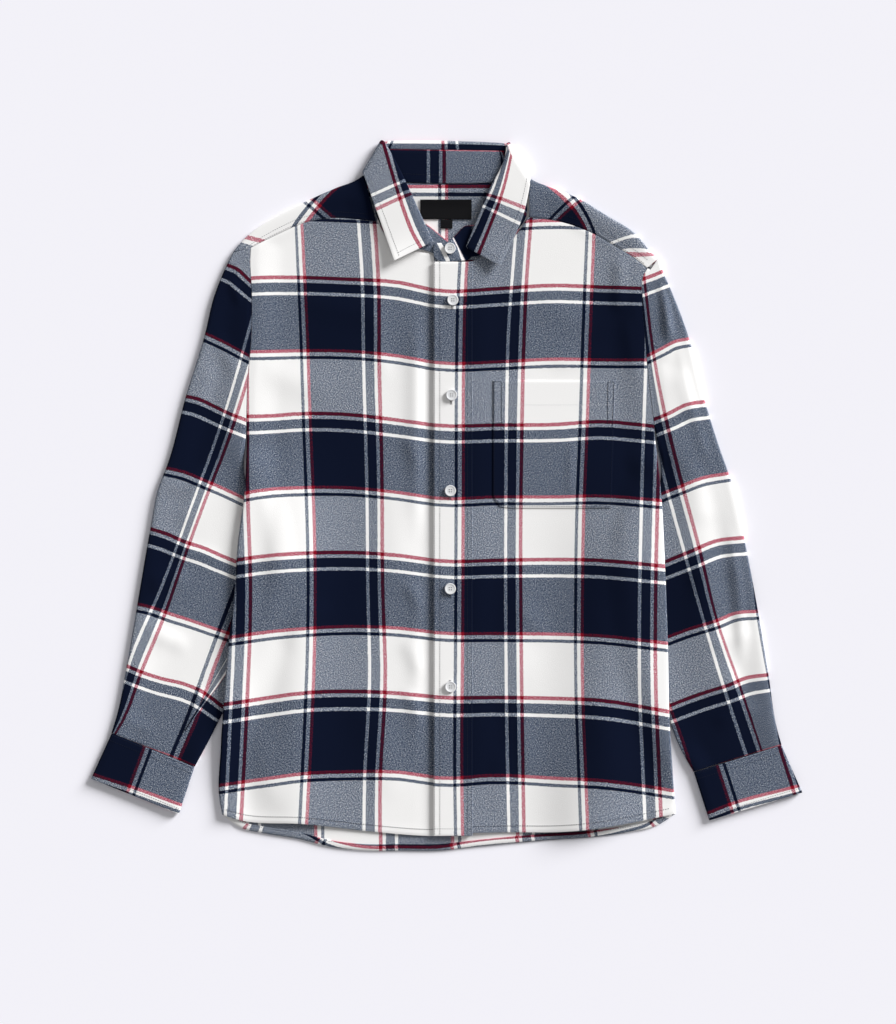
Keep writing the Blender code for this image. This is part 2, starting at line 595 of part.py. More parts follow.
def sleeve(side):
    """Sleeve: a flattened tube from the armhole to the cuff seam.

    Its first ring runs up the armhole over the front, round the shoulder's tip and down the
    armhole over the back. Each later ring runs from the inner edge to the outer edge and back.
    """
    sign = SIGN[side]
    tip = np.array(SHOULDER[side][-1])
    armpit = np.array(ARMHOLE[side][-1])
    corners = np.array(YOKE_FRONT[side][0]), np.array((x_at(armhole_line[side], YOKE_SEAM_Y),
                                                       YOKE_SEAM_Y))
    cuff_in = np.array(SLEEVE_INNER[side][-1])
    axis = unit(np.array(CUFF_END[side][0]) - cuff_in)
    inner_places = ABOVE_ARMPIT[:4]
    count = len(inner_places) + len(ACROSS) + len(EDGE_ARC)
    ring = 2 * count - 2
    grid = np.zeros((len(SLEEVE_STEPS), ring + 1, 3))
    for i, t in enumerate(SLEEVE_STEPS):
        inner = along(inner_line[side], t)
        outer = along(outer_line[side], t)
        square_in = across_line(inner_line[side], t) * sign
        square_out = across_line(outer_line[side], t) * -sign
        spread = smooth(t / SPREAD_END)
        r_in = FOLD + (TUCK_FOLD - FOLD) * (smooth(t / TUCK_START)
                                            - smooth((t - TUCK_END[0]) / TUCK_END[1]))
        width = np.linalg.norm(outer - inner)
        bulge = smooth(t / BULGE_END[0]) * (1 - smooth((t - BULGE_END[0]) / BULGE_END[1]))
        bulge *= sign * SLEEVE_BULGE
        for layer, up in enumerate((1, -1)):
            levels = ABOVE_ARMPIT[4:] if layer == 0 else ABOVE_ARMPIT[4:7] + [UNDER_LEVEL]
            for j in range(count):
                if j < len(inner_places):
                    rise = inner_places[j]
                    y0 = ARMPIT_Y[side] + rise
                    start = np.array((x_at(armhole_line[side], y0), y0))
                    turn = math.radians(INNER_TURNS[j])
                    tight = inner + square_in * (CLOTH / 2 + SEAM + r_in * (1 - math.cos(turn)))
                    x, y = (start + inner - armpit) * (1 - spread) + tight * spread
                    k = max(float(curl(y0, side)), 0.02)
                    drop = FOLD * (1 - math.cos(math.pi / 2 * k)) / k
                    seam = FLOOR_LAYER + FOLD + up * max(FOLD - drop, 0) * (j > 0)
                    z = seam + (FLOOR_LAYER + r_in + up * r_in * math.sin(turn) - seam) * spread
                elif j < len(inner_places) + len(ACROSS):
                    k = j - len(inner_places)
                    f = ACROSS[k]
                    if k < len(levels):
                        y0 = ARMPIT_Y[side] + levels[k]
                        start = np.array((x_at(armhole_line[side], y0), y0))
                    else:
                        start = corners[layer]
                    straight = armpit + (tip - armpit) * f
                    x, y = inner + (outer - inner) * f + (start - straight) * (
                        1 - smooth(t / ARMHOLE_END))
                    x += bulge * (1 - f)
                    z = FLOOR_LAYER
                    if layer == 0:
                        rest = max(FRONT_REST + float(ridges(x, y, SLEEVE_FOLDS[side])), LOWEST_TOP)
                        full_in = 1 - smooth((f * width - r_in - 1) / TUCK_REACH)
                        full_out = 1 - smooth(((1 - f) * width - FOLD - 1) / EDGE_REACH)
                        z_in, z_out = FLOOR_LAYER + 2 * r_in, FLOOR_LAYER + 2 * FOLD
                        z = rest + (z_in - rest) * full_in
                        z = z + (z_out - z) * full_out
                        z = z_out + (z - z_out) * smooth(t / HEAD_END)
                else:
                    turn = EDGE_ARC[::-1][j - len(inner_places) - len(ACROSS)]
                    to_seam = unit(corners[layer] - tip)
                    inward = unit(to_seam + (square_out - to_seam) * smooth(t / BULGE_END[0]))
                    x, y = outer + inward * (CLOTH / 2 + FOLD * (1 - math.cos(turn)))
                    z = FLOOR_LAYER + FOLD + up * FOLD * math.sin(turn)
                if i == 0:
                    toward_cuff = np.array((sign, 0.0))
                    if j >= count - len(EDGE_ARC) - 1:
                        toward_cuff = unit((sign * HEAD_SEAM[0], HEAD_SEAM[1]))
                    x, y = np.array((x, y)) + toward_cuff * SEAM
                if i == len(SLEEVE_STEPS) - 1:
                    x, y = np.array((x, y)) - axis * SEAM
                if layer == 0:
                    grid[i, j] = x, y, z
                elif 0 < j < count - 1:
                    grid[i, ring - j] = x, y, z
        grid[i, ring] = grid[i, 0]
    return grid


CUFF_FOLD = 2.0
CUFF_SAG = 0.88        # the band's top layer sinks a little between its folds
CUFF_PLACES = (0.2, 0.5, 0.8)


def cuff(side):
    """Cuff: a flattened band of double cloth."""
    cuff_in, cuff_out = np.array(SLEEVE_INNER[side][-1]), np.array(SLEEVE_OUTER[side][-1])
    end_in, end_out = (np.array(p) for p in CUFF_END[side])
    radius = CUFF_FOLD
    middle = DOUBLE / 2 + radius
    places = [("in", angle) for angle in EDGE_ARC]
    places += [("flat", f) for f in CUFF_PLACES]
    places += [("out", angle) for angle in EDGE_ARC[::-1]]
    rows = [0, 0.5, 1]
    ring = 2 * len(places) - 2
    grid = np.zeros((len(rows), ring + 1, 3))
    for i, row in enumerate(rows):
        inner = cuff_in + (end_in - cuff_in) * row
        outer = cuff_out + (end_out - cuff_out) * row
        axis = unit(end_in - cuff_in)
        if row == 0:
            inner, outer = inner + axis * SEAM, outer + axis * SEAM
        width = np.linalg.norm(outer - inner)
        across = (outer - inner) / width
        for layer, up in enumerate((1, -1)):
            for j, (kind, value) in enumerate(places):
                if kind == "flat":
                    point, z = inner + across * width * value, radius * CUFF_SAG
                    z = middle + (z if up > 0 else -radius)
                else:
                    reach = DOUBLE / 2 + radius * (1 - math.cos(value))
                    point = inner + across * reach if kind == "in" else outer - across * reach
                    z = middle + up * radius * math.sin(value)
                if layer == 0:
                    grid[i, j] = *point, z
                elif 0 < j < len(places) - 1:
                    grid[i, ring - j] = *point, z
        grid[i, ring] = grid[i, 0]
    return grid


def crease(side):
    """Axis point, direction to the crest and outward direction of the fold over the shoulder."""
    top, edge = np.array(CREASE_TOP[side]), np.array(CREASE_EDGE[side])
    toward = unit(top - edge)
    outward = np.array((toward[1], -toward[0])) * SIGN[side]
    reach = 3 * ROLL + DOUBLE / 2
    return top - outward * reach, toward, outward


CREASE_TURNS = [math.radians(a) for a in (0, 30, 60, 90, 120, 150, 180)]
FRONT_STATIONS = [0.06, 0.15, 0.27, 0.4, 0.53, 0.66, 0.79, 0.9, 1.0]


def collar_stations():
    """Sections round the neck, from the wearer's right front to the left front.

    Each has the roll's centre, the direction from stand to leaf, the direction to the crest, the
    foot of the stand, the edge of the leaf and how far along a front it lies.
    """
    stations = []
    axis_z = DOUBLE / 2 + 3 * ROLL
    radius = 2 * ROLL
    tops = {}
    for side in SIDES:
        pivot, toward, outward = crease(side)
        fold = line([pivot] + LEAF_FOLD[side])
        edge = line(LEAF_EDGE[side])
        neck = line([pivot - toward * STAND_FALL] + NECK_RUN[side])
        heights = np.array(COLLAR_HEIGHTS[side])
        run = []
        for place in FRONT_STATIONS:
            crest, foot, rim = along(fold, place), along(neck, place), along(edge, place)
            stand_z, roll_z, edge_z = (np.interp(place, heights[:, 0], heights[:, i])
                                       for i in (1, 2, 3))
            foot_z = float(front_z(foot[0], foot[1], side)) + (DOUBLE - CLOTH) / 2
            foot_z += (axis_z + ROLL - foot_z) * (1 - smooth((place - 0.06) / 0.3))
            to_crest = unit(unit(crest - foot) + unit(crest - rim))
            centre = crest - to_crest * (ROLL + DOUBLE / 2)
            run.append(dict(centre=np.array((*centre, roll_z)), sep=np.array((0, 0, 1.0)),
                            toward=np.array((*to_crest, 0)), foot=np.array((*foot, foot_z)),
                            edge=np.array((*rim, edge_z)), stand_z=stand_z, place=place))
        turn = []
        edge_fall = np.linalg.norm(np.array(CREASE_TOP[side]) - CREASE_EDGE[side])
        last_fall = np.dot(pivot - np.array(LEAF_EDGE[side][0]), toward)
        for angle in CREASE_TURNS[::-1]:
            sep = np.array((*(outward * math.sin(angle)), -math.cos(angle)))
            hub = np.array((*pivot, axis_z)) + radius * sep
            up = np.array((*toward, 0))
            centre = hub - up * (ROLL + DOUBLE / 2)
            swing = smooth((angle - math.pi / 2) / (math.pi / 2))
            fall = edge_fall + (last_fall - edge_fall) * swing
            turn.append(dict(centre=centre, sep=sep, toward=up,
                             foot=hub - sep * ROLL - up * STAND_FALL,
                             edge=hub + sep * ROLL - up * fall,
                             stand_z=None, place=0))
        tops[side] = (pivot, edge_fall)
        if side == "right":
            stations += run[::-1] + turn
            first = turn[-1]
        else:
            last = turn[-1]
            left = turn[::-1] + run
    (pivot_r, fall_r), (pivot_l, fall_l) = tops["right"], tops["left"]
    for place in BACK_STATIONS:
        crest = pivot_r + (pivot_l - pivot_r) * place
        crest[1] += (CREASE_TOP["right"][1] - pivot_r[1]) * math.sin(math.pi * place) ** 0.4
        foot = along(neck_back_line, place)
        foot = foot + np.array((0, SEAM))
        up = unit(crest - foot)
        middle = math.sin(math.pi * place)
        fall = (fall_r + (fall_l - fall_r) * place) * (1 - middle) + LEAF_BACK_FALL * middle
        centre = np.array((*(crest - up * (ROLL + DOUBLE / 2)), axis_z - radius))
        stations.append(dict(centre=centre, sep=np.array((0, 0, -1.0)), toward=np.array((*up, 0)),
                             foot=np.array((*foot, axis_z - ROLL)),
                             edge=np.array((*(crest - up * fall), DOUBLE / 2)),
                             stand_z=None, place=0))
    return stations + left


ROLL_ANGLES = [math.radians(a) for a in (0, 45, 90, 135, 180)]


def leaf_strip(s):
    """Where the leaf's roll begins, and the run of leaf down to its seam with the stand."""
    start = s["centre"] - s["sep"] * ROLL
    down = unit(unit(s["foot"] - start) * (1 - smooth(s["place"] / 0.6)) - s["toward"])
    strip = ROLL_STRIP - ROLL - DOUBLE / 2
    return start, down, max(strip * (1 - smooth(s["place"] / 0.8)), 1.4)


def collar_leaf(stations):
    """Leaf: a strip above the stand, the roll, and the turned-down side out to its edge."""
    grid = []
    for s in stations:
        centre, sep, toward = s["centre"], s["sep"], s["toward"]
        start, down, strip = leaf_strip(s)
        points = [start + down * strip, start + down * strip / 2]
        for angle in ROLL_ANGLES:
            points.append(centre - sep * ROLL * math.cos(angle) + toward * ROLL * math.sin(angle))
        begin = centre + sep * ROLL
        for t in (0.12, 0.35, 0.58, 0.8, 1):
            point = begin + (s["edge"] - begin) * t
            point[2] = begin[2] + (s["edge"][2] - begin[2]) * (t ** 1.4 if s["place"] else t)
            points.append(point)
        grid.append(points)
    return np.array(grid)


def collar_stand(stations):
    """Stand: from the neck seam to the seam with the leaf, with its tab and the end under it."""
    grid = []
    rows = (0, 0.34, 0.67, 1)
    for top_x, top_y, foot_x, foot_y, z in STAND_UNDER_END:
        foot, top = np.array((foot_x, foot_y, z)), np.array((top_x, top_y, z))
        grid.append([foot + (top - foot) * t for t in rows])
    for s in stations:
        if s["place"] > STAND_STOP:
            continue
        start, down, strip = leaf_strip(s)
        top = start + down * (strip + GAP)
        if s["stand_z"] is not None:
            top[2] += s["stand_z"] - start[2]
        foot = s["foot"]
        grid.append([foot + (top - foot) * t for t in rows])
    for top_x, top_y, foot_x, foot_y, z in STAND_TAB:
        foot, top = np.array((foot_x, foot_y, z)), np.array((top_x, top_y, z))
        grid.append([foot + (top - foot) * t for t in rows])
    return np.array(grid)


def placket():
    """Placket: a band on the edge of the buttonhole side."""
    raise_by = CLOTH / 2 + GAP + BAND / 2
    rows = np.linspace(PLACKET_Y[0], PLACKET_Y[1], 14)
    grid = np.zeros((len(rows), 3, 3))
    for i, y in enumerate(rows):
        for j, x in enumerate((PLACKET_X[0], sum(PLACKET_X) / 2, PLACKET_X[1])):
            grid[i, j] = x, y, float(front_z(x, y, "left")) + raise_by
    return grid


def pocket():
    """Chest pocket with one corner cut off."""
    raise_by = CLOTH / 2 + POCKET_SEAT + CLOTH / 2
    grid = np.zeros((9, 9, 3))
    top, foot = np.array(POCKET_TOP), np.array(POCKET_FOOT)
    for i, t in enumerate(np.linspace(0, 1, 9)):
        right = top[1] + (foot[1] - top[1]) * t
        left_x = POCKET_SIDE_X
        if t == 1:
            left_x = foot[0, 0]
        y_left = top[0, 1] + (POCKET_CHAMFER_Y - top[0, 1]) * min(t / 0.875, 1)
        if t == 1:
            y_left = foot[0, 1]
        for j, f in enumerate(np.linspace(0, 1, 9)):
            x = left_x + (right[0] - left_x) * f
            y = y_left + (right[1] - y_left) * smooth(f / 0.2) if t > 0.8 else y_left + (
                right[1] - y_left) * f
            grid[i, j] = x, y, float(front_z(x, y, "left")) + raise_by
    return grid


def patch(xs, ys, wall, seat, cols, rows):
    """A small patch lying on the yoke."""
    grid = np.zeros((rows, cols, 3))
    for i, y in enumerate(np.linspace(ys[0], ys[1], rows)):
        for j, x in enumerate(np.linspace(xs[0], xs[1], cols)):
            grid[i, j] = x, y, float(back_z(x, y)) + CLOTH / 2 + seat + wall / 2
    return grid


def button_mesh():
    """Four-hole shirt button: a turned profile with drilled holes."""
    h, r = BUTTON_HEIGHT, BUTTON_RADIUS
    profile = [(0, h - BUTTON_DISH), (BUTTON_RIM - 0.9, h - BUTTON_DISH), (BUTTON_RIM, h),
               (r, h - 0.8), (r - 1.1, 0), (0, 0)]
    outline_mesh = bpy.data.meshes.new("button_profile")
    outline_mesh.from_pydata([(x * MM, 0, z * MM) for x, z in profile],
                             [(i, i + 1) for i in range(len(profile) - 1)], [])
    turned = bpy.data.objects.new("button_turned", outline_mesh)
    cutters.objects.link(turned)
    screw = turned.modifiers.new("turn", "SCREW")
    screw.steps = screw.render_steps = BUTTON_STEPS
    screw.use_merge_vertices = True
    screw.merge_threshold = 0.00001
    for k in range(4):
        angle = math.radians(45 + 90 * k)
        bpy.ops.mesh.primitive_cylinder_add(
            vertices=6, radius=HOLE_RADIUS * MM, depth=6 * MM,
            location=(HOLE_SPACING * MM * math.cos(angle), HOLE_SPACING * MM * math.sin(angle), 0.001))
        drill = bpy.context.object
        drill.name = f"button_drill_{k}"
        for owner in drill.users_collection:
            owner.objects.unlink(drill)
        cutters.objects.link(drill)
        drill.hide_render = True
        drill.display_type = "WIRE"
        cut = turned.modifiers.new(f"hole_{k}", "BOOLEAN")
        cut.operation = "DIFFERENCE"
        cut.object = drill
    bpy.context.view_layer.update()
    shape = turned.evaluated_get(bpy.context.evaluated_depsgraph_get())
    mesh = bpy.data.meshes.new_from_object(shape)
    mesh.name = "shirt_button"
    turned.hide_render = True
    turned.display_type = "WIRE"
    return mesh


def add_buttons():
    mesh = button_mesh()
    mesh.materials.append(materials["button_plastic"])
    mesh.shade_smooth()
    mesh.set_sharp_from_angle(angle=math.radians(35))
    for name, x, y in BUTTONS:
        if name == "button_collar":
            seat = TAB_Z + DOUBLE / 2
        else:
            seat = float(front_z(x, y, "left")) + CLOTH / 2 + GAP + BAND
        button = bpy.data.objects.new(name, mesh)
        button.location = (x * MM, y * MM, (seat + GAP) * MM)
        shirt.objects.link(button)


def add_materials():
    made = {}
    for name, (red, green, blue, rough) in COLOURS.items():
        made[name] = bpy.data.materials.new(name)
        made[name].use_nodes = True
        shader = made[name].node_tree.nodes["Principled BSDF"]
        shader.inputs["Base Color"].default_value = (red, green, blue, 1)
        shader.inputs["Roughness"].default_value = rough
        shader.inputs["Metallic"].default_value = 0
    return made


for old in list(bpy.data.objects):
    bpy.data.objects.remove(old)
shirt = bpy.data.collections.new("flannel_shirt")
cutters = bpy.data.collections.new("cutters")
bpy.context.scene.collection.children.link(shirt)
bpy.context.scene.collection.children.link(cutters)
materials = add_materials()

sheet("back", [back_panel()], CLOTH, "fabric")
sheet("front_right", [front_panel("right")], CLOTH, "fabric")
sheet("front_left", [front_panel("left")], CLOTH, "fabric")
yoke_right, yoke_left = yoke_side("right"), yoke_side("left")
sheet("yoke", [yoke_right, yoke_middle(yoke_right, yoke_left), yoke_left], CLOTH, "fabric")
for side in SIDES:
    sheet(f"sleeve_{side}", [sleeve(side)], CLOTH, "fabric", closed=True)
    sheet(f"cuff_{side}", [cuff(side)], DOUBLE, "fabric_collar", closed=True)
collar = collar_stations()
sheet("collar_stand", [collar_stand(collar)], DOUBLE, "fabric_collar")
sheet("collar_leaf", [collar_leaf(collar)], DOUBLE, "fabric_collar")
sheet("placket", [placket()], BAND, "fabric_collar")
sheet("pocket", [pocket()], CLOTH, "fabric_collar")
sheet("neck_label", [patch(LABEL_X, LABEL_Y, LABEL, PATCH_SEAT, 5, 4)], LABEL, "label_woven")
sheet("size_tab", [patch(TAG_X, TAG_Y, LABEL, PATCH_SEAT, 2, 2)], LABEL, "label_woven")
add_buttons()
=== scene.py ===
import itertools
import math

import bpy
import numpy as np
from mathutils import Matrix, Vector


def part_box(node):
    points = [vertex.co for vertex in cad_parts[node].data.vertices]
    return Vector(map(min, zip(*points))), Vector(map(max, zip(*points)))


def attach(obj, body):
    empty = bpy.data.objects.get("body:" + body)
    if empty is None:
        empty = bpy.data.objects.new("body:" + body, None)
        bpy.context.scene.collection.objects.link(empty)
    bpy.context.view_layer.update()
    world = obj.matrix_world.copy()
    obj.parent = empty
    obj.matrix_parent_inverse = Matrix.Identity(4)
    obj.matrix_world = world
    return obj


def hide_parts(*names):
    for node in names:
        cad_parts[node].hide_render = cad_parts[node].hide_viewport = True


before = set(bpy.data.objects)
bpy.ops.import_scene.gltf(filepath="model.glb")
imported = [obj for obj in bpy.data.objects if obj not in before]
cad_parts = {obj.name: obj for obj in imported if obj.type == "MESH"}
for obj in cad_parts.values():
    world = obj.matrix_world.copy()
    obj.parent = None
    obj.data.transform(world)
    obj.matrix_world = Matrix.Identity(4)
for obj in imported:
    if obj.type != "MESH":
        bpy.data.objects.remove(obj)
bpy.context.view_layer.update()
bpy.ops.object.select_all(action="DESELECT")

# ---------------------------------------------------------------- back
# One panel of brushed cotton flannel, woven in a navy, white and red plaid. It runs from the
# yoke seam to the tail, is sewn to the fronts along the sides, and its hem is turned up inside.
# Lengths are in millimetres; +X is the wearer's left, +Y points to the collar.
MM = 0.001
CLOTH = 1.2
GAP = 0.3
SEAM = 0.22            # each piece stops this far short of a seam line
FOLD = 2.2             # mid-wall radius of the soft folds at the sides and shoulders
PAST_FOLD = 1          # the cloth stays full this far in from its fold
SEAM_SWEEP = math.radians(80)
STEP = 4.0             # spacing of the mesh on top
WIDE_STEP = 7.0        # and underneath
WELD = 0.02            # a tube's rows are closed within this distance
EDGE_ROUND = 0.28      # share of the wall that rounds a raw edge
RAW_EDGE_ANGLE = math.radians(80)
SMOOTH_ANGLE = math.radians(50)
FLOOR_LAYER = CLOTH / 2
LIFT = 4.6             # the body's sides lie this much higher, over the sleeves
LIFT_FLAT = 8
LIFT_REACH = 37
LIFT_START = 32
CURL_START = 20        # length above the armpit in which the armhole seam curls down
LEAST_CURL = 0.02
NECK_LIFT = 2.4        # the back neck seam lies on the turned-down collar
NECK_FLAT = 8
NECK_REACH = 22
YOKE_SEAM_Y = 250
SIDES = ("right", "left")
SIGN = {"right": -1, "left": 1}

SHOULDER = {
    "right": [(-92.7, 366.2), (-100, 361), (-127.7, 349.9), (-162.9, 333.9), (-191.6, 319.5),
              (-222.1, 300.3), (-239.6, 281.9), (-243.6, 276.4)],
    "left": [(92.0, 362.6), (99.5, 358.4), (114.7, 352.6), (148.3, 339.5), (181.9, 319.5),
             (215.5, 297.9), (233.1, 277.1), (241.5, 269.6)],
}
ARMHOLE = {
    "right": [(-222.9, 282.1), (-223.7, 272.3), (-222.1, 234.3), (-222.1, 188.7), (-227.1, 122.5),
              (-228.2, 63.3)],
    "left": [(228.3, 258.8), (223.4, 249.6), (222.2, 229.1), (225.2, 188.7), (229.1, 137.9),
             (238.3, 62.1)],
}
SIDE = {
    "right": [(-228.2, 63.3), (-230.2, 6.3), (-237.9, -52.6), (-242.5, -116.8), (-248.4, -165.9),
              (-254.6, -242.2), (-257.6, -287.8), (-259.1, -348.8), (-256.2, -363.1)],
    "left": [(238.3, 62.1), (244.3, 2.8), (248.9, -82.6), (252.1, -171.6), (253.4, -242.2),
             (258.0, -318.6), (261.2, -361.9)],
}
SLEEVE_INNER = {
    "right": [(-228.2, 63.3), (-230.1, 25.1), (-222.2, -5), (-214.1, -37.9), (-209.4, -78.5),
              (-214.0, -122.1), (-225.4, -176.1), (-240.2, -221.7), (-256.2, -251.4),
              (-268.7, -276.2), (-286.5, -309.1)],
    "left": [(238.3, 62.1), (243.5, 24.1), (238.3, -5), (229.3, -37.9), (223.8, -78.5),
             (226.1, -122.1), (232.9, -176.1), (243.2, -221.7), (253.4, -257.1),
             (264.8, -286.7), (280.8, -315.2)],
}
NECK_BACK = [(-92.7, 366.2), (-70.3, 359.1), (-41.8, 356.2), (0, 355.1), (38, 355.7),
             (66.5, 358.0), (91.0, 363.6)]
BACK_HEM = [(-256.2, -363.5), (-233.9, -379.0), (-209.4, -384.7), (-164, -392.4), (-139.4, -398.9),
            (-92.2, -404.7), (-54.4, -404.7), (2.4, -403.8), (17, -402.0), (77.4, -395.8),
            (105.8, -393.3), (162.6, -389.5), (200.3, -384.7), (240, -376), (261.2, -362.3)]
# Folds: a soft ridge from (x0, y0) to (x1, y1), bowed sideways, its half width and its height
BACK_FOLDS = [
    # x0,   y0,   x1,   y1, bow, half, height
    (-150, 235, -60, 120, 8, 16, 0.5), (-30, 225, 60, 40, -10, 14, 0.45),
    (170, 225, 120, 60, 9, 18, 0.5), (-190, 110, -90, 10, -6, 15, 0.4),
    (-120, -40, -60, -220, 12, 20, 0.5), (40, -10, 90, -170, -8, 17, 0.45),
    (150, -60, 190, -230, 6, 15, 0.5), (-20, -180, 10, -330, -9, 19, 0.5),
    (-190, -210, -130, -345, 7, 16, 0.4), (120, -250, 90, -360, 5, 14, 0.45),
]
FOLD_TAPER = 0.3       # share of a fold's length over which it dies out at each end
HEM_WIDTH = 7.5
HEM_ENDS = (-250, 255)
HEM_POINTS = 120
HEM_CREASE = 0.6       # the hem turns up this far in from the edge, and dips this much there
HEM_LAYER = CLOTH + 0.1
PANEL_FOOT_Y = BACK_HEM[7][1]
ARMPIT_Y = {side: ARMHOLE[side][-1][1] for side in SIDES}
TURNS = np.linspace(1, 0, 7)
ROLL_WIDTH = 3.4       # the roll takes this much of a panel's edge
SETTLE_ROUNDS = 8      # rounds in which a column's plan settles between its slanted ends

# The plaid repeats every 156 mm of cloth, the same along and across: where each stripe begins
REPEAT = 156
NAVY, WHITE, RED = "navy", "white", "red"
PLAID = [(0, NAVY), (60, WHITE), (63.5, NAVY), (74, WHITE), (78, RED), (82, WHITE), (144, NAVY),
         (148, WHITE), (152, RED)]
YARN = {NAVY: (0.139, 0.2045, 0.3131), WHITE: (0.9751, 0.9725, 0.9699), RED: (0.6592, 0.2079, 0.3028)}
YARN_GAMMA = 3.5       # the yarns' colours mix as the eye sees them, and turn into light after that
NAP_SCALE = 900
FRAY = 1.6             # the nap frays the stripes' edges by about this much
YARN_SCALE = 1250      # slubs along each yarn, how far they are drawn out and how strongly they show
YARN_STRETCH = 0.6
YARN_CONTRAST = 0.9
RIB_PITCH = 1.3        # the twill's ribs
RIB_CONTRAST = 0.09
WEFT_SHARE = 0.555     # how much of the weft shows on the face
CLOUD_SCALE = 420
CLOUD_CONTRAST = 0.08
NAP_DEPTH = 0.35
RIB_DEPTH = 0.12
# A thread row gives a place in the plaid and the line on which it lies
BACK_WARP = [(154, [(-149, 240), (-149, -400)]), (-232, [(237, 240), (237, -400)])]
BACK_WEFT = [(146, [(-140, -401), (-60, -401), (20, -400), (118, -390.5), (180, -387)])]


def smooth(t):
    t = np.clip(t, 0, 1)
    return t * t * (3 - 2 * t)


def unit(v):
    v = np.array(v, float)
    return v / np.linalg.norm(v)


def run_of(points):
    """Length run along a line at each of its points."""
    return np.concatenate([[0], np.cumsum(np.linalg.norm(np.diff(points, axis=0), axis=1))])


def line(rows, samples=160):
    """A smooth line through the rows of a table, as evenly spaced points."""
    rows = np.array(rows, float)
    knots = run_of(rows)
    slope = np.gradient(rows, knots, axis=0)
    at = np.linspace(0, knots[-1], samples)
    k = np.clip(np.searchsorted(knots, at, side="right") - 1, 0, len(rows) - 2)
    h = (knots[k + 1] - knots[k])[:, None]
    t = (at - knots[k])[:, None] / h
    return ((2 * t**3 - 3 * t**2 + 1) * rows[k] + (t**3 - 2 * t**2 + t) * h * slope[k]
            + (3 * t**2 - 2 * t**3) * rows[k + 1] + (t**3 - t**2) * h * slope[k + 1])


def along(points, fraction):
    """Points at fractions of a line's length."""
    run = run_of(points)
    want = np.asarray(fraction) * run[-1]
    return np.stack([np.interp(want, run, points[:, i]) for i in range(points.shape[1])], axis=-1)


def x_at(points, y):
    order = np.argsort(points[:, 1])
    return np.interp(y, points[order, 1], points[order, 0])


def y_at(points, x):
    order = np.argsort(points[:, 0])
    return np.interp(x, points[order, 0], points[order, 1])


def distance(x, y, points):
    """Plan distance from (x, y) to a line of points."""
    nearest = np.full(np.broadcast(x, y).shape, 1e9)
    for a, b in zip(points[:-1], points[1:]):
        d = b - a
        t = np.clip(((x - a[0]) * d[0] + (y - a[1]) * d[1]) / (d @ d), 0, 1)
        nearest = np.minimum(nearest, np.hypot(x - a[0] - t * d[0], y - a[1] - t * d[1]))
    return nearest


def beyond(x, y, points):
    """Signed distance from a thread that runs straight on past its ends, more on its left."""
    points = line(points, 24) if len(points) > 2 else np.array(points, float)
    nearest = np.full(np.broadcast(x, y).shape, 1e9)
    signed = np.zeros(nearest.shape)
    for i, (a, b) in enumerate(zip(points[:-1], points[1:])):
        d = b - a
        t = ((x - a[0]) * d[0] + (y - a[1]) * d[1]) / (d @ d)
        t = np.maximum(t, 0) if i > 0 else t
        t = np.minimum(t, 1) if i < len(points) - 2 else t
        away = np.hypot(x - a[0] - t * d[0], y - a[1] - t * d[1])
        turn = np.sign(d[0] * (y - a[1]) - d[1] * (x - a[0]))
        signed = np.where(away < nearest, turn * away, signed)
        nearest = np.minimum(nearest, away)
    return signed


def woven(x, y, threads):
    """Place in the cloth of (x, y), read between the threads of a table."""
    away = [beyond(x, y, points) for _, points in threads]
    values = [value for value, _ in threads]
    step = 1 if values[-1] >= values[0] else -1
    place = values[0] + step * away[0]
    for k in range(len(threads) - 1):
        span = np.maximum(away[k] - away[k + 1], 0.01)
        between = values[k] + (values[k + 1] - values[k]) * np.minimum(away[k] / span, 1)
        place = np.where(away[k] > 0, between, place)
    return np.where(away[-1] > 0, values[-1] + step * away[-1], place)


armhole_line = {s: line(ARMHOLE[s]) for s in SIDES}
side_line = {s: line(SIDE[s]) for s in SIDES}
inner_line = {s: line(SLEEVE_INNER[s], 60) for s in SIDES}
shoulder_line = {s: line(SHOULDER[s]) for s in SIDES}
edge_line = {s: np.concatenate([armhole_line[s], side_line[s][1:]]) for s in SIDES}
neck_back_line = line(NECK_BACK, 60)
back_hem_line = line(BACK_HEM)


def lift(x, y):
    """How much higher the body lies where a sleeve is tucked under its side."""
    total = np.zeros(np.broadcast(x, y).shape)
    for s in SIDES:
        away = distance(x, y, inner_line[s])
        over = (SIGN[s] * (x - x_at(inner_line[s], y)) > 0) & (y < ARMPIT_Y[s])
        over &= SIGN[s] * (x_at(side_line[s], y) - x_at(inner_line[s], y)) > 0
        away = np.where(over, 0, away)
        rise = 1 - smooth((away - LIFT_FLAT) / LIFT_REACH)
        total = np.maximum(total, rise * smooth((ARMPIT_Y[s] - y) / LIFT_START))
    return LIFT * total


def folds(x, y, table):
    """Summed height of a table of folds."""
    total = np.zeros(np.broadcast(x, y).shape)
    for x0, y0, x1, y1, bow, half, height in table:
        length = math.hypot(x1 - x0, y1 - y0)
        ax, ay = (x1 - x0) / length, (y1 - y0) / length
        t = ((x - x0) * ax + (y - y0) * ay) / length
        side = (y - y0) * ax - (x - x0) * ay - bow * (1 - (2 * t - 1) ** 2)
        total += (height * np.exp(-((side / half) ** 2))
                  * smooth(t / FOLD_TAPER) * smooth((1 - t) / FOLD_TAPER))
    return total


def back_z(x, y):
    """Middle of the back panel and of the back of the yoke."""
    neck = 1 - smooth((distance(x, y, neck_back_line) - NECK_FLAT) / NECK_REACH)
    return FLOOR_LAYER + lift(x, y) + NECK_LIFT * neck + folds(x, y, BACK_FOLDS)


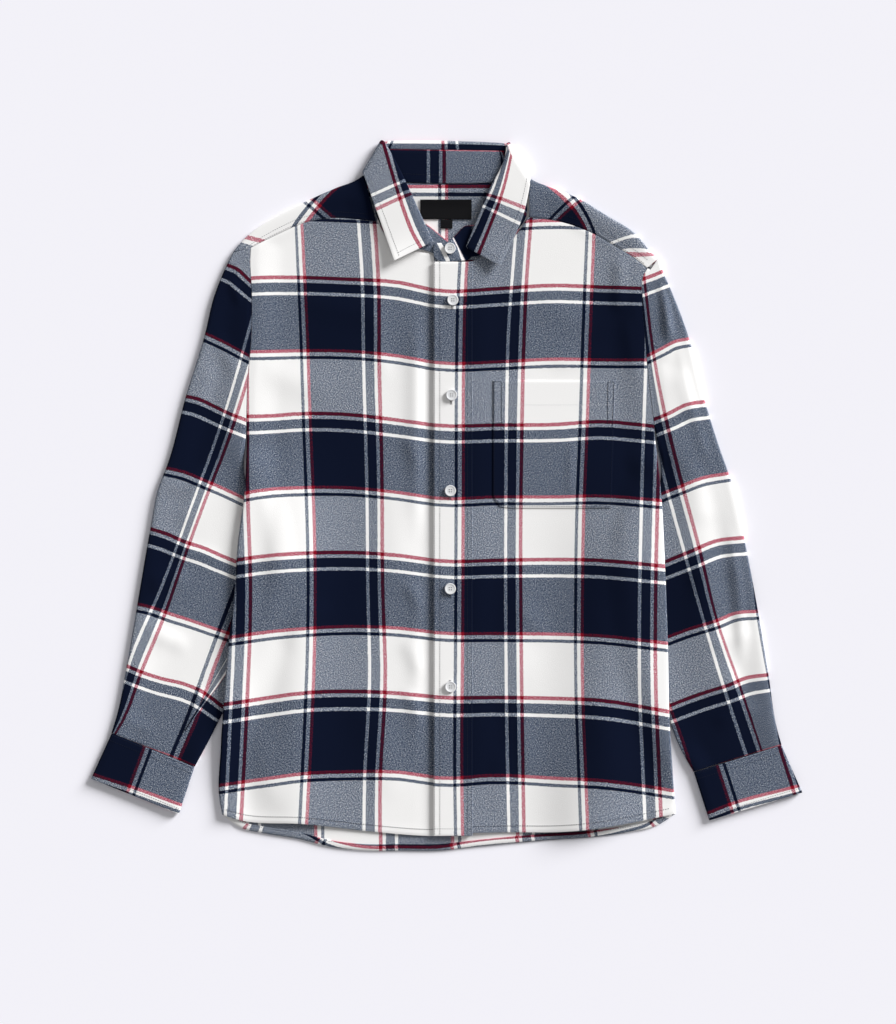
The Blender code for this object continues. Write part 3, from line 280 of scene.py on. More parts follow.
def turned_edge(y, side, z, up, turn):
    """Offset inwards and height of a wall that rolls up (1) or down (-1) over a side edge.

    turn runs from 0, where the roll starts, to 1 at the seam.
    """
    k = np.maximum(1 - smooth((y - ARMPIT_Y[side]) / CURL_START), LEAST_CURL)
    radius = FOLD / k
    sweep = SEAM_SWEEP * k
    end = SEAM + CLOTH / 2 * np.sin(sweep)
    inward = end + radius * (np.sin(sweep) - np.sin(sweep * turn))
    return inward, z + up * radius * (1 - np.cos(sweep * turn))


def panel_from_side(side, top, hem, last_x, height, up, step):
    """Columns of a panel from its rolled side edge to last_x; rows run from top to hem."""
    sign, side_x = SIGN[side], SIDE[side][3][0]      # the side about halfway down
    rows = int((YOKE_SEAM_Y - PANEL_FOOT_Y) / step)
    share = np.linspace(0, 1, rows)
    flats = np.linspace(0, 1, int(abs(side_x - last_x) / step))[1:]
    columns = [("roll", t) for t in TURNS] + [("flat", f) for f in flats]
    grid = np.zeros((rows, len(columns), 3))
    for j, (kind, value) in enumerate(columns):
        x = np.full(rows, (side_x + last_x) / 2)
        y = YOKE_SEAM_Y + (PANEL_FOOT_Y - YOKE_SEAM_Y) * share
        for _ in range(SETTLE_ROUNDS):
            edge = x_at(edge_line[side], y)
            near = edge - sign * ROLL_WIDTH
            if kind == "roll":
                inward, z = turned_edge(y, side, height(near, y), up, value)
                x = edge - sign * inward
            else:
                inward, z = turned_edge(y, side, 0, up, 0)
                start = edge - sign * inward
                x = start + (last_x - start) * value
            y = top(x) + (hem(x) - top(x)) * share
        grid[:, j] = np.stack([x, y, z if kind == "roll" else height(x, y)], axis=-1)
    return grid


def new_material(name, roughness, specular):
    """A material, its shader and its tree."""
    material = bpy.data.materials.new(name)
    material.use_nodes = True
    shader = material.node_tree.nodes["Principled BSDF"]
    shader.inputs["Roughness"].default_value = roughness
    shader.inputs["Specular IOR Level"].default_value = specular
    return material, shader, material.node_tree


def add_node(tree, kind, inputs, **settings):
    """A shader node with its settings made and its inputs given values or linked."""
    made = tree.nodes.new("ShaderNode" + kind)
    for key, value in settings.items():
        setattr(made, key, value)
    for key, value in inputs.items():
        if isinstance(value, bpy.types.NodeSocket):
            tree.links.new(value, made.inputs[key])
        else:
            made.inputs[key].default_value = value
    return made


def flannel(name):
    """Brushed plaid twill: warp and weft yarns from the cloth's own coordinates."""
    material, shader, tree = new_material(name, roughness=0.95, specular=0.05)
    shader.inputs["Sheen Weight"].default_value = 0.03
    shader.inputs["Sheen Roughness"].default_value = 0.6

    def maths(operation, *values):
        return add_node(tree, "Math", dict(enumerate(values)), operation=operation).outputs[0]

    def noise(scale, detail, stretch=(1, 1, 1)):
        mapping = add_node(tree, "Mapping", {"Vector": cloth, "Scale": stretch})
        return add_node(tree, "TexNoise", {"Scale": scale, "Detail": detail,
                                           "Vector": mapping.outputs[0]}, noise_dimensions="2D").outputs[0]

    cloth = add_node(tree, "UVMap", {}, uv_map="cloth").outputs["UV"]
    split = add_node(tree, "SeparateXYZ", {0: cloth})
    nap = noise(NAP_SCALE, 2)
    yarns = []
    for axis, stretch in ((0, (1, YARN_STRETCH, 1)), (1, (YARN_STRETCH, 1, 1))):
        frayed = maths("MULTIPLY_ADD", maths("SUBTRACT", nap, 0.5), FRAY * MM, split.outputs[axis])
        place = maths("FRACT", maths("DIVIDE", frayed, REPEAT * MM))
        ramp = add_node(tree, "ValToRGB", {0: place})
        ramp.color_ramp.interpolation = "CONSTANT"
        stops = ramp.color_ramp.elements
        for i, (start, colour) in enumerate(PLAID):
            stop = stops[i] if i < 2 else stops.new(start / REPEAT)
            stop.position = start / REPEAT
            stop.color = (*YARN[colour], 1)
        yarns.append((ramp.outputs[0], noise(YARN_SCALE, 1, stretch)))
    # a right-hand twill, blurred by the nap
    rib = maths("SINE", maths("MULTIPLY", maths("ADD", split.outputs[0], split.outputs[1]),
                              2 * math.pi / (RIB_PITCH * MM)))
    weave = maths("MULTIPLY_ADD", rib, RIB_CONTRAST, WEFT_SHARE)
    slubs = maths("SUBTRACT", yarns[0][1], yarns[1][1])
    weave = maths("ADD", weave, maths("MULTIPLY", slubs, YARN_CONTRAST))
    cloud = maths("SUBTRACT", noise(CLOUD_SCALE, 1), 0.5)
    weave = maths("ADD", weave, maths("MULTIPLY", cloud, CLOUD_CONTRAST))
    mixed = add_node(tree, "Mix", {0: weave}, data_type="RGBA", clamp_factor=True)
    for socket, (yarn, _) in zip((6, 7), yarns):
        tree.links.new(yarn, mixed.inputs[socket])
    to_light = add_node(tree, "Gamma", {"Gamma": YARN_GAMMA, "Color": mixed.outputs[2]})
    tree.links.new(to_light.outputs[0], shader.inputs["Base Color"])
    relief = maths("ADD", nap, maths("MULTIPLY", rib, RIB_DEPTH))
    bump = add_node(tree, "Bump", {"Strength": 0.35, "Distance": NAP_DEPTH * MM, "Height": relief})
    tree.links.new(bump.outputs[0], shader.inputs["Normal"])
    return material


shirting = flannel("plaid flannel")


def pick(*parts):
    """Select these parts alone, with the first one active."""
    bpy.ops.object.select_all(action="DESELECT")
    for part in parts:
        part.select_set(True)
    bpy.context.view_layer.objects.active = parts[0]


def join(parts, name):
    """One object of that name made of all the parts."""
    pick(*parts)
    if len(parts) > 1:
        bpy.ops.object.join()
    parts[0].name = parts[0].data.name = name
    return parts[0]


def part_of_shirt(piece, node):
    """Fasten a finished piece in place of its solid."""
    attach(piece, "root")
    if node:
        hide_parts(node)


def cloth_sheet(name, node, grids, wall, tube=False, material=shirting):
    """A piece of the shirt from grids of points and their places in the cloth, given a wall."""
    parts = []
    for points, places in grids:
        rows, cols, _ = points.shape
        bpy.ops.mesh.primitive_grid_add(x_subdivisions=cols - 1, y_subdivisions=rows - 1, size=1)
        part = bpy.context.object
        part.data.vertices.foreach_set("co", (points * MM).ravel())
        corner = np.empty(len(part.data.loops), int)
        part.data.loops.foreach_get("vertex_index", corner)
        layer = part.data.uv_layers[0]
        layer.name = "cloth"
        layer.data.foreach_set("uv", (places.reshape(-1, 2)[corner] * MM).ravel())
        parts.append(part)
    piece = join(parts, name)
    bpy.ops.object.mode_set(mode="EDIT")
    bpy.ops.mesh.select_all(action="SELECT")
    if tube:
        bpy.ops.mesh.remove_doubles(threshold=WELD * MM)
    bpy.ops.mesh.normals_make_consistent(inside=False)
    bpy.ops.object.mode_set(mode="OBJECT")
    shell = piece.modifiers.new("wall", "SOLIDIFY")
    shell.thickness = wall * MM
    shell.offset = 0
    shell.use_even_offset = True
    shell.thickness_clamp = 1
    rounding = piece.modifiers.new("raw edge", "BEVEL")
    rounding.width = EDGE_ROUND * wall * MM
    rounding.segments = 2
    rounding.limit_method = "ANGLE"
    rounding.angle_limit = RAW_EDGE_ANGLE
    for modifier in ("wall", "raw edge"):
        bpy.ops.object.modifier_apply(modifier=modifier)
    bpy.ops.object.shade_smooth_by_angle(angle=SMOOTH_ANGLE)
    piece.data.materials.append(material)
    bpy.ops.object.select_all(action="DESELECT")
    part_of_shirt(piece, node)
    return piece


def back_side(side):
    return panel_from_side(side, lambda x: np.full(np.shape(x), YOKE_SEAM_Y - SEAM),
                           lambda x: y_at(back_hem_line, x), 0.0, back_z, 1, WIDE_STEP)


def back_places(x, y):
    flipped = [(value, [(px, -py) for px, py in points]) for value, points in BACK_WEFT]
    return np.stack([woven(x, y, BACK_WARP), woven(x, -y, flipped)], axis=-1)


back_points = np.concatenate([back_side("right"), back_side("left")[:, -2::-1]], axis=1)
hem_x = np.linspace(*HEM_ENDS, HEM_POINTS)
hem_y = y_at(back_hem_line, hem_x)
hem_slope = np.gradient(hem_y, hem_x)
inward = np.stack([-hem_slope, np.ones(HEM_POINTS)], axis=-1) / np.hypot(1, hem_slope)[:, None]
turned_up, turned_places = [], []
for width in np.linspace(HEM_CREASE, HEM_WIDTH, 4):
    x, y = hem_x + inward[:, 0] * width, hem_y + inward[:, 1] * width
    z = back_z(x, y) + HEM_LAYER - (HEM_CREASE if width == HEM_CREASE else 0)
    turned_up.append(np.stack([x, y, z], axis=-1))
    turned_places.append(back_places(hem_x - inward[:, 0] * width, hem_y - inward[:, 1] * width))

back = cloth_sheet("back_panel", "back",
                   [(back_points, back_places(back_points[..., 0], back_points[..., 1])),
                    (np.array(turned_up), np.array(turned_places))], CLOTH)

# ---------------------------------------------------------------- fronts
# Two panels of the same flannel. The wearer's right one carries the buttons and passes under the
# placket, and the left one carries the buttonholes and the pocket. Their hems are turned up.
FRONT_REST = 2.5
PUFF_REACH = 36        # the fold's fullness dies out this far in from an edge
UNDERLAP = 2.2
OVERLAP = 3.8
NECK_FULL = (22, 34)   # the collar holds the front up this far round the shoulder's neck point
PLACKET_X = (-15.0, 29.4)
YOKE_FRONT = {
    "right": [(-222.9, 282.1), (-191.6, 297.9), (-161.3, 310.6), (-137.3, 315.4), (-78.9, 312.2)],
    "left": [(228.3, 258.8), (205.9, 275.5), (196.3, 281.1), (165.9, 298.7), (130.8, 311.4),
             (92.3, 317.1)],
}
NECK_FRONT = {
    "right": [(-78.9, 312.2), (-64.6, 290.3), (-48.0, 281.0), (-32.0, 277.6), (-21.0, 276.0),
              (-12.0, 271.0), (-4.0, 266.0), (8.0, 265.2), (28.8, 265.2)],
    "left": [(92.3, 317.1), (79.0, 297.0), (60.8, 284.2), (42.5, 273.8), (28.8, 266.8),
             (14.0, 265.4), (-15, 265.4)],
}
FRONT_EDGE = {"right": 28.0, "left": -14.4}
# where the folds calm down and the front narrows: distance of the start and length of the change
EDGE_CALM = (4, 20)
PLACKET_CALM = {"right": (4, 12), "left": (12, 12)}
NARROW = {"right": (2, 22, UNDERLAP), "left": (6, 30, OVERLAP)}
FRONT_HEM = {
    "right": [(-256.2, -363.1), (-235, -369.7), (-164, -373.8), (-92.2, -382.0), (-19.4, -387.7),
              (28, -387.2)],
    "left": [(261.2, -361.9), (219.2, -370.6), (171.9, -378.3), (124.6, -382.9), (67.6, -383.6),
             (17, -384.7), (-14.4, -387.2)],
}
HEM_STEP = 0.35        # the turned hem lifts the edge this much
HEM_STEP_REACH = 1.5

BODY_FOLDS = [
    # x0,   y0,   x1,   y1, bow, half, height
    (-190, 225, -60, 190, 8, 17, 1.0),
    (-215, 150, -120, 120, -6, 18, 1.2),
    (-70, 60, -60, -150, 8, 20, 1.1),
    (-160, 20, -150, -200, -10, 22, 1.0),
    (-32, 230, -34, -60, 2, 14, 2.6),
    (-33, -60, -34, -330, 2, 12, 1.0),
    (-110, -210, -60, -360, 8, 20, 1.2),
    (-215, -250, -190, -365, -5, 16, 1.1),
    (196, 282, 193, 205, 2, 9, 2.0),
    (100, 230, 180, 190, -6, 18, 1.0),
    (210, 60, 180, -130, 8, 20, 1.2),
    (90, -60, 80, -240, -5, 24, 1.3),
    (150, -200, 190, -360, 10, 24, 1.6),
    (60, -280, 50, -380, 3, 15, 1.0),
    (186, 110, 176, -560, 0, 48, 6.5),
    (148, -230, 152, -600, 0, 34, 3.2),
    (-164, 100, -173, -480, 0, 34, 4.4),
    (-184, 46, -190, -120, 0, 19, 1.7),
    (141, 72, 139, -8, 1, 4, 0.8),
    (-50, -96, -24, -136, 2, 8, 1.5),
    (-49, -158, -22, -206, -2, 10, 1.0),
    (-52, -216, -24, -268, 2, 8, 1.2),
    (-200, 60, -120, 84, 5, 11, 0.8),
    (-130, -120, -186, -178, -6, 10, 0.9),
    (-96, 240, -70, 120, 4, 9, 0.8),
    (112, 150, 190, 168, -4, 10, 0.8),
    (70, -120, 118, -172, 5, 10, 0.9),
    (206, 210, 226, 120, -3, 9, 1.0),
    (214, 20, 190, -60, 4, 11, 1.0),
    (62, -214, 96, -330, 6, 12, 0.9),
    (-50, 72, -27, 24, 1, 8, 1.1),
]

# Where the plaid's threads run on each front, from the shoulder to the hem
FRONT_WARP = {
    "right": [
        (80, [(-227, 223), (-226, -5), (-223, -108), (-224, -165), (-227, -233), (-233, -347)]),
        (154, [(-164, 286), (-159, 183), (-156, 98), (-150, -74), (-150, -142), (-153, -245),
               (-159, -364)]),
        (236, [(-83, 320), (-78, 251), (-77, 149), (-74, 29), (-73, -108), (-70, -210),
               (-76, -330), (-76, -381)]),
    ],
    "left": [
        (61.75, [(75, 257), (70, 189), (68, 109), (67, -5), (68, -256), (70, -358)]),
        (80, [(95, 303), (91, 251), (88, 183), (85, 46), (84, -56), (85, -193), (87, -330)]),
        (154, [(167, 286), (163, 183), (159, 63), (156, -5), (154, -119), (154, -210), (158, -330)]),
        (236, [(244, 132), (239, -22), (237, -119), (237.5, -227), (241.5, -313), (243, -347)]),
    ],
}
WEFT_X = (-236, -208, -167, -112, -58, -3, 54, 122, 177, 232)
WEFT_Y = [
    (-470, (-327, -323, -317, -315, -315, -322, -319, -322, -324, -332)),
    (-388, (-235, -231, -225, -223, -225, -230, -230, -231, -233, -242)),
    (-314, (-160, -156, -152, -149.5, -151, -157, -157.5, -158, -160, -166)),
    (-232, (-73, -69, -66, -65, -68, -75, -74, -73, -74, -79)),
    (-158, (1, 6, 8.5, 8.5, 3.5, -4, -2, -2, -1, -5)),
    (-76, (90, 90, 93, 92, 86, 79, 80, 80.5, 84, 79)),
    (-2, (163, 163.5, 164.5, 164, 159, 150, 151.5, 155, 154, 154)),
    (80, (246, 248, 248, 246, 243, 232, 235, 239, 237, 235)),
]
FRONT_WEFT = [(value, list(zip(WEFT_X, ys))) for value, ys in WEFT_Y]

outline = {s: np.concatenate([line(SHOULDER[s], 40), line(ARMHOLE[s], 40), line(SIDE[s], 60)[1:]])
           for s in SIDES}


def front_z(x, y, side):
    """Middle of a front and of the yoke's front edge."""
    away = distance(x, y, outline[side])
    full = 1 - smooth((away - FOLD - PAST_FOLD) / PUFF_REACH)
    neck = np.hypot(x - SHOULDER[side][0][0], y - SHOULDER[side][0][1])
    full = np.maximum(full, 1 - smooth((neck - NECK_FULL[0]) / NECK_FULL[1]))
    z = FRONT_REST + (FLOOR_LAYER + 2 * FOLD - FRONT_REST) * full
    beside = x - PLACKET_X[1] if side == "left" else PLACKET_X[0] - x
    start, reach = PLACKET_CALM[side]
    z = z + folds(x, y, BODY_FOLDS) * (smooth((away - EDGE_CALM[0]) / EDGE_CALM[1])
                                       * smooth((beside - start) / reach))
    start, reach, layer = NARROW[side]
    z = z + (layer - z) * (1 - smooth((beside - start) / reach))
    return z + lift(x, y)


def plan_places(points, warp, weft):
    x, y = points[..., 0], points[..., 1]
    return np.stack([woven(x, y, warp), woven(x, y, weft)], axis=-1)


front_hem_line = {s: line(FRONT_HEM[s]) for s in SIDES}
for side in SIDES:
    front_top = np.concatenate([line(YOKE_FRONT[side]), line(NECK_FRONT[side])[1:]])

    def front_height(x, y):
        into = (y - y_at(front_hem_line[side], x) - HEM_WIDTH) / HEM_STEP_REACH
        return front_z(x, y, side) + HEM_STEP * (1 - smooth(into))

    points = panel_from_side(side, lambda x: y_at(front_top, x) - SEAM,
                             lambda x: y_at(front_hem_line[side], x), FRONT_EDGE[side],
                             front_height, -1, STEP)
    front = cloth_sheet(f"front_panel_{side}", f"front_{side}",
                        [(points, plan_places(points, FRONT_WARP[side], FRONT_WEFT))], CLOTH)

# ---------------------------------------------------------------- yoke
# One piece of flannel over both shoulders, cut on the back's grain. It folds over each shoulder
# line and is sewn to the fronts on a slant, so its plaid meets theirs at an angle.
YOKE_WARP = [(154, [(-154.7, 360), (-154.7, 250)]), (466, [(154.2, 360), (154.2, 250)])]
YOKE_WEFT = [(82, [(-230, 268), (230, 268)]), (154, [(-100, 351.7), (100, 351.7)])]
YOKE_STATIONS = np.linspace(0, 1, 42)
YOKE_GRAIN_SPAN = 0.3  # share of the shoulder over which its fold counts as straight
YOKE_BACK = np.linspace(0, 0.96, 16)
YOKE_FRONT_ROWS = np.linspace(0, 1, 12)[1:]
SHOULDER_TURN = np.radians(np.linspace(-90, 90, 13))
YOKE_CENTRE = np.linspace(0, 1, 46)
TIP_SHARE = 0.06       # shares of the shoulder in which its two ends are eased
NECK_SHARE = 0.1
YOKE_EASE = {
    # how each corner moves outwards and up, at the armhole and at the neck
    "fold": np.array([(-0.25, 0.5), (1.6, -0.6)]),
    "front": np.array([(-SEAM, 0), (1.6, 0.15)]),
    "back": np.array([(-SEAM, 0), (1, 0)]),
}
FOLD_SEAT = 3          # the fold's underside lies as high as the back does this far in
NECK_RISE = 0.2        # the fold gets this much fuller at the neck, over the rest of the shoulder
NECK_RISE_START = 0.8
BACK_LEVEL = 0.6       # up to this share of its run the yoke lies on the back's level
FRONT_LEVEL = 0.6      # and from this share on the front's


def yoke_side(side):
    """One shoulder: points from the back seam over the fold to the front seam, and their places."""
    sign = SIGN[side]
    armhole_x = float(x_at(armhole_line[side], YOKE_SEAM_Y))
    neck_x = SHOULDER[side][0][0]
    front_line = line(YOKE_FRONT[side])
    rows = len(YOKE_BACK) + len(SHOULDER_TURN) + len(YOKE_FRONT_ROWS)
    grid, flat = np.zeros((len(YOKE_STATIONS), rows, 3)), np.zeros((len(YOKE_STATIONS), rows, 2))
    for i, place in enumerate(YOKE_STATIONS):
        fold = along(shoulder_line[side], 1 - place)
        run = unit(along(shoulder_line[side], min(1 - place + YOKE_GRAIN_SPAN, 1))
                   - along(shoulder_line[side], max(1 - place - YOKE_GRAIN_SPAN, 0)))
        front = along(front_line, place)
        back_foot = np.array((armhole_x + (neck_x - armhole_x) * place, YOKE_SEAM_Y))
        ends = np.array((max(0, 1 - place / TIP_SHARE), max(0, 1 - (1 - place) / NECK_SHARE)))
        fold = fold + ends @ YOKE_EASE["fold"] * (sign, 1)
        front = front + ends @ YOKE_EASE["front"] * (sign, 1) + (0, SEAM)
        back_foot = back_foot + ends @ YOKE_EASE["back"] * (sign, 1) + (0, SEAM)
        up, down = unit(front - fold), unit(back_foot - fold)
        low = float(back_z(*(fold + down * FOLD_SEAT)))
        fuller = smooth((place - NECK_RISE_START) / (1 - NECK_RISE_START))
        high = FLOOR_LAYER + 2 * FOLD + NECK_RISE * fuller
        radius, middle = (high - low) / 2, (high + low) / 2
        reach = CLOTH / 2 + radius
        opened = 2 * (up @ run) * run - up      # the front part unfolded over the shoulder
        points = []
        for t in YOKE_BACK:
            x, y = back_foot + (fold + down * reach - back_foot) * t
            z = float(back_z(x, y))
            points.append((x, y, z + (low - z) * smooth((t - BACK_LEVEL) / (1 - BACK_LEVEL))))
            flat[i, len(points) - 1] = x, y
        for angle in SHOULDER_TURN:
            aim = down if angle < 0 else up
            x, y = fold + aim * (CLOTH / 2 + radius * (1 - math.cos(angle)))
            points.append((x, y, middle + radius * math.sin(angle)))
            flat[i, len(points) - 1] = fold + (down if angle < 0 else opened) * radius * abs(angle)
        for t in YOKE_FRONT_ROWS:
            x, y = fold + up * reach + (front - fold - up * reach) * t
            z = float(front_z(x, y, side))
            points.append((x, y, high + (z - high) * smooth(t / FRONT_LEVEL)))
            far = np.linalg.norm(np.array((x, y)) - fold) + radius * (math.pi / 2 - 1)
            flat[i, len(points) - 1] = fold + opened * far
        grid[i] = points
    return grid, plan_places(flat, YOKE_WARP, YOKE_WEFT)


(yoke_right, right_places), (yoke_left, left_places) = yoke_side("right"), yoke_side("left")
rows = len(YOKE_BACK)
across = YOKE_CENTRE[:, None]
first, last = yoke_right[-1, :rows], yoke_left[-1, :rows]
foot_x = first[0, 0] + (last[0, 0] - first[0, 0]) * across
neck_x = first[-1, 0] + (last[-1, 0] - first[-1, 0]) * across
neck_y = y_at(neck_back_line, neck_x) - GAP
t = ((first[:, 1] - first[0, 1]) / (first[-1, 1] - first[0, 1]))[None]
x = foot_x + (neck_x - foot_x) * t
y = first[0, 1] + (neck_y - first[0, 1]) * t
yoke_centre = np.stack([x, y, back_z(x, y)], axis=-1)
yoke_centre[0], yoke_centre[-1] = first, last
yoke = cloth_sheet("yoke_panel", "yoke",
                   [(yoke_right, right_places),
                    (yoke_centre, plan_places(yoke_centre, YOKE_WARP, YOKE_WEFT)),
                    (yoke_left, left_places)], CLOTH, tube=True)

# ---------------------------------------------------------------- sleeves
# Each sleeve is one panel of flannel sewn into a tube and set into the armhole, the right one with
# a small pleat above its cuff. It lies pressed flat beside the body, its inner edge under the side.
TUCK_FOLD = 1.3
SLEEVE_OUTER = {
    "right": [(-243.6, 276.4), (-252.7, 258.2), (-265.3, 226.3), (-275.5, 184.1), (-297.2, 113.4),
              (-318.9, 33.6), (-328.0, 10.7), (-338.2, -40.5), (-352.3, -122.5), (-364.5, -193.2),
              (-375.2, -247.9), (-382.0, -270.4)],
    "left": [(241.5, 269.6), (245.9, 256.3), (255.5, 234.3), (273.1, 188.7), (293.3, 110.5),
             (308.5, 61.6), (325.2, 12.7), (338.9, -48.0), (354.3, -128.9), (366.5, -202.3),
             (377.2, -268.5), (381.7, -283.9)],
}
CUFF_END = {"right": [(-304.2, -362.6), (-405.5, -322.0)], "left": [(298.2, -369.9), (405.5, -337.8)]}
PLEAT_EDGE = [(-243, -192), (-264, -221.7), (-279.3, -242), (-297.6, -268.5)]
PLEAT_LINE = [(-245, -168), (-272.1, -219.5), (-285.8, -244.5), (-298, -267)]
PLEAT_WARP = (212, 235)
PLEAT_ROOT = -0.5      # the pleat rises from just inside the sleeve's cloth
PLEAT_LIFT = 1.3
PLEAT_RISE = 0.8       # share of its width over which it rises
SLEEVE_FOLDS = {
    "right": [
        (-252, 250, -232, 215, 2, 7, 1.3),
        (-285, 90, -262, 150, 4, 13, 1.2),
        (-346, -106, -290, -90, 3, 11, 1.6),
        (-268, 190, -240, 130, 3, 9, 1.0),
        (-322, 4, -268, 26, -4, 9, 1.2),
        (-352, -150, -290, -178, 4, 10, 1.1),
        (-330, -60, -246, -76, 3, 8, 0.9),
        (-372, -250, -330, -268, -3, 8, 0.9),
        (-310, -40, -280, 40, -4, 15, 1.2),
        (-350, -220, -310, -150, 5, 13, 1.3),
        (-276, -215, -299, -275, 1, 5, 2.0),
        (-358, -132, -338, -150, 1, 4, 0.9),
        (-238, 284, -228, 262, 1, 3, 0.9),
        (-245, 274, -232, 244, -1, 3, 0.8),
    ],
    "left": [
        (249, 230, 322, -320, 0, 26, 2.8),
        (300, 70, 256, 30, 4, 9, 1.0),
        (338, -76, 270, -104, -4, 10, 1.2),
        (352, -150, 290, -172, 3, 9, 1.0),
        (360, -240, 300, -262, -3, 10, 1.0),
        (262, 196, 244, 150, 2, 8, 0.9),
        (247, 258, 252, 168, 1, 6, 4.0),
        (285, 80, 262, 150, 4, 13, 1.2),
        (324, -30, 336, -205, 2, 7, 2.0),
        (290, -40, 280, 40, -4, 15, 1.2),
        (330, -250, 318, -190, 3, 12, 1.3),
        (300, -130, 290, -60, 3, 13, 1.0),
        (226, 279, 240, 262, 1, 3, 0.8),
        (236, 274, 226, 258, -1, 3, 0.8),
    ],
}
SLEEVE_WARP = {
    "right": [
        (61.75, [(-227, 182), (-246, 115), (-266, 55), (-288, -5), (-323, -100), (-359, -184),
                 (-370, -222)]),
        (80, [(-226, 135), (-250, 60), (-272, 4), (-294, -56), (-329, -156), (-348, -201),
              (-368, -254), (-378, -271)]),
        (146, [(-238, -96), (-258, -148), (-276, -197), (-293, -245), (-314, -296)]),
        (154, [(-230, -108), (-250, -159), (-266, -199), (-282, -247), (-304, -299)]),
    ],
    "left": [
        (-2, [(220, -119), (237, -188), (252, -237), (264, -267), (277, -307)]),
        (61.75, [(220, 189), (228, 126), (235, 75), (250, 9), (271, -68), (296, -156), (316, -222),
                 (341, -297)]),
        (80, [(226, 233), (234, 166), (248, 92), (270, 4), (285, -51), (308, -144), (333, -214),
              (359, -289)]),
        (144, [(300, 160), (322, 60), (340, -40), (356, -165), (367, -222), (378, -284)]),
    ],
}
SLEEVE_WEFT = {
    "right": [
        (-470, [(-380, -273), (-344, -287), (-312, -298), (-287, -308)]),
        (-388, [(-364, -194), (-350, -200), (-327, -208), (-298, -215), (-281, -222), (-256, -240)]),
        (-314, [(-352, -124), (-338, -127), (-315, -135), (-293, -142), (-270, -150), (-249, -157)]),
        (-232, [(-337, -38), (-321, -43), (-298, -53), (-276, -60), (-258, -68), (-241, -75)]),
        (-158, [(-319, 31), (-298, 26), (-276, 17), (-253, 7), (-236, -1)]),
        (-76, [(-297, 113), (-281, 109), (-264, 101), (-247, 93), (-229, 86)]),
        (-2, [(-274, 184), (-253, 174), (-236, 165), (-225, 159)]),
        (80, [(-252, 263), (-238, 257), (-227, 247)]),
    ],
    "left": [
        (-470, [(277, -319), (308, -308), (374, -287)]),
        (-388, [(252, -240), (289, -226), (323, -215), (340, -208), (366, -204)]),
        (-314, [(250, -162), (277, -152), (309, -142), (329, -134), (356, -132)]),
        (-232, [(248, -76), (277, -64), (306, -52), (339, -48)]),
        (-158, [(243, 1), (266, 10), (289, 19), (321, 25)]),
        (-76, [(237, 87), (252, 93), (272, 103), (296, 107)]),
        (-2, [(229, 159), (243, 166), (260, 175), (275, 178)]),
        (80, [(226, 247), (237, 251), (248, 256)]),
    ],
}
SLEEVE_UNDER_FOLDS = {
    "right": [(-250, 200, -290, 90, 6, 14, 0.5), (-300, 20, -270, -70, -5, 12, 0.45),
              (-330, -90, -290, -190, 7, 15, 0.5), (-350, -200, -310, -275, -4, 12, 0.4)],
    "left": [(246, 190, 282, 80, -6, 13, 0.45), (262, 40, 310, -50, 5, 14, 0.5),
             (330, -70, 282, -170, -7, 13, 0.5), (300, -190, 340, -280, 5, 12, 0.45)],
}
outer_line = {s: line(SLEEVE_OUTER[s]) for s in SIDES}
SEAM_SECTIONS = 54     # sections that start on the armhole seam, and on the tucked edge below it
TUCK_SECTIONS = 98
ROLL_PARTS = np.linspace(0, 1, 6)
ACROSS = np.linspace(0, 1, 38)[1:-1]
TUCK_START = 0.08      # the tucked fold tightens over this share of its length
TUCK_END = (0.87, 0.1)  # and loosens again from there on, over this share
HEAD_TURN = 50         # the outer fold turns square to its edge over this length below the head
HEAD_FLAT = 3
SEAM_REACH = 42        # the seam's fullness dies out this far into the sleeve
TUCK_REACH = 24
EDGE_REACH = 30
FOLD_REACH = 15        # and the folds die out this close to the edges


def sideways(points):
    """Unit directions square to a line in plan, to its left, at each of its points."""
    ahead = np.gradient(points, axis=0)
    return np.stack([-ahead[:, 1], ahead[:, 0]], axis=-1) / np.linalg.norm(ahead, axis=1)[:, None]


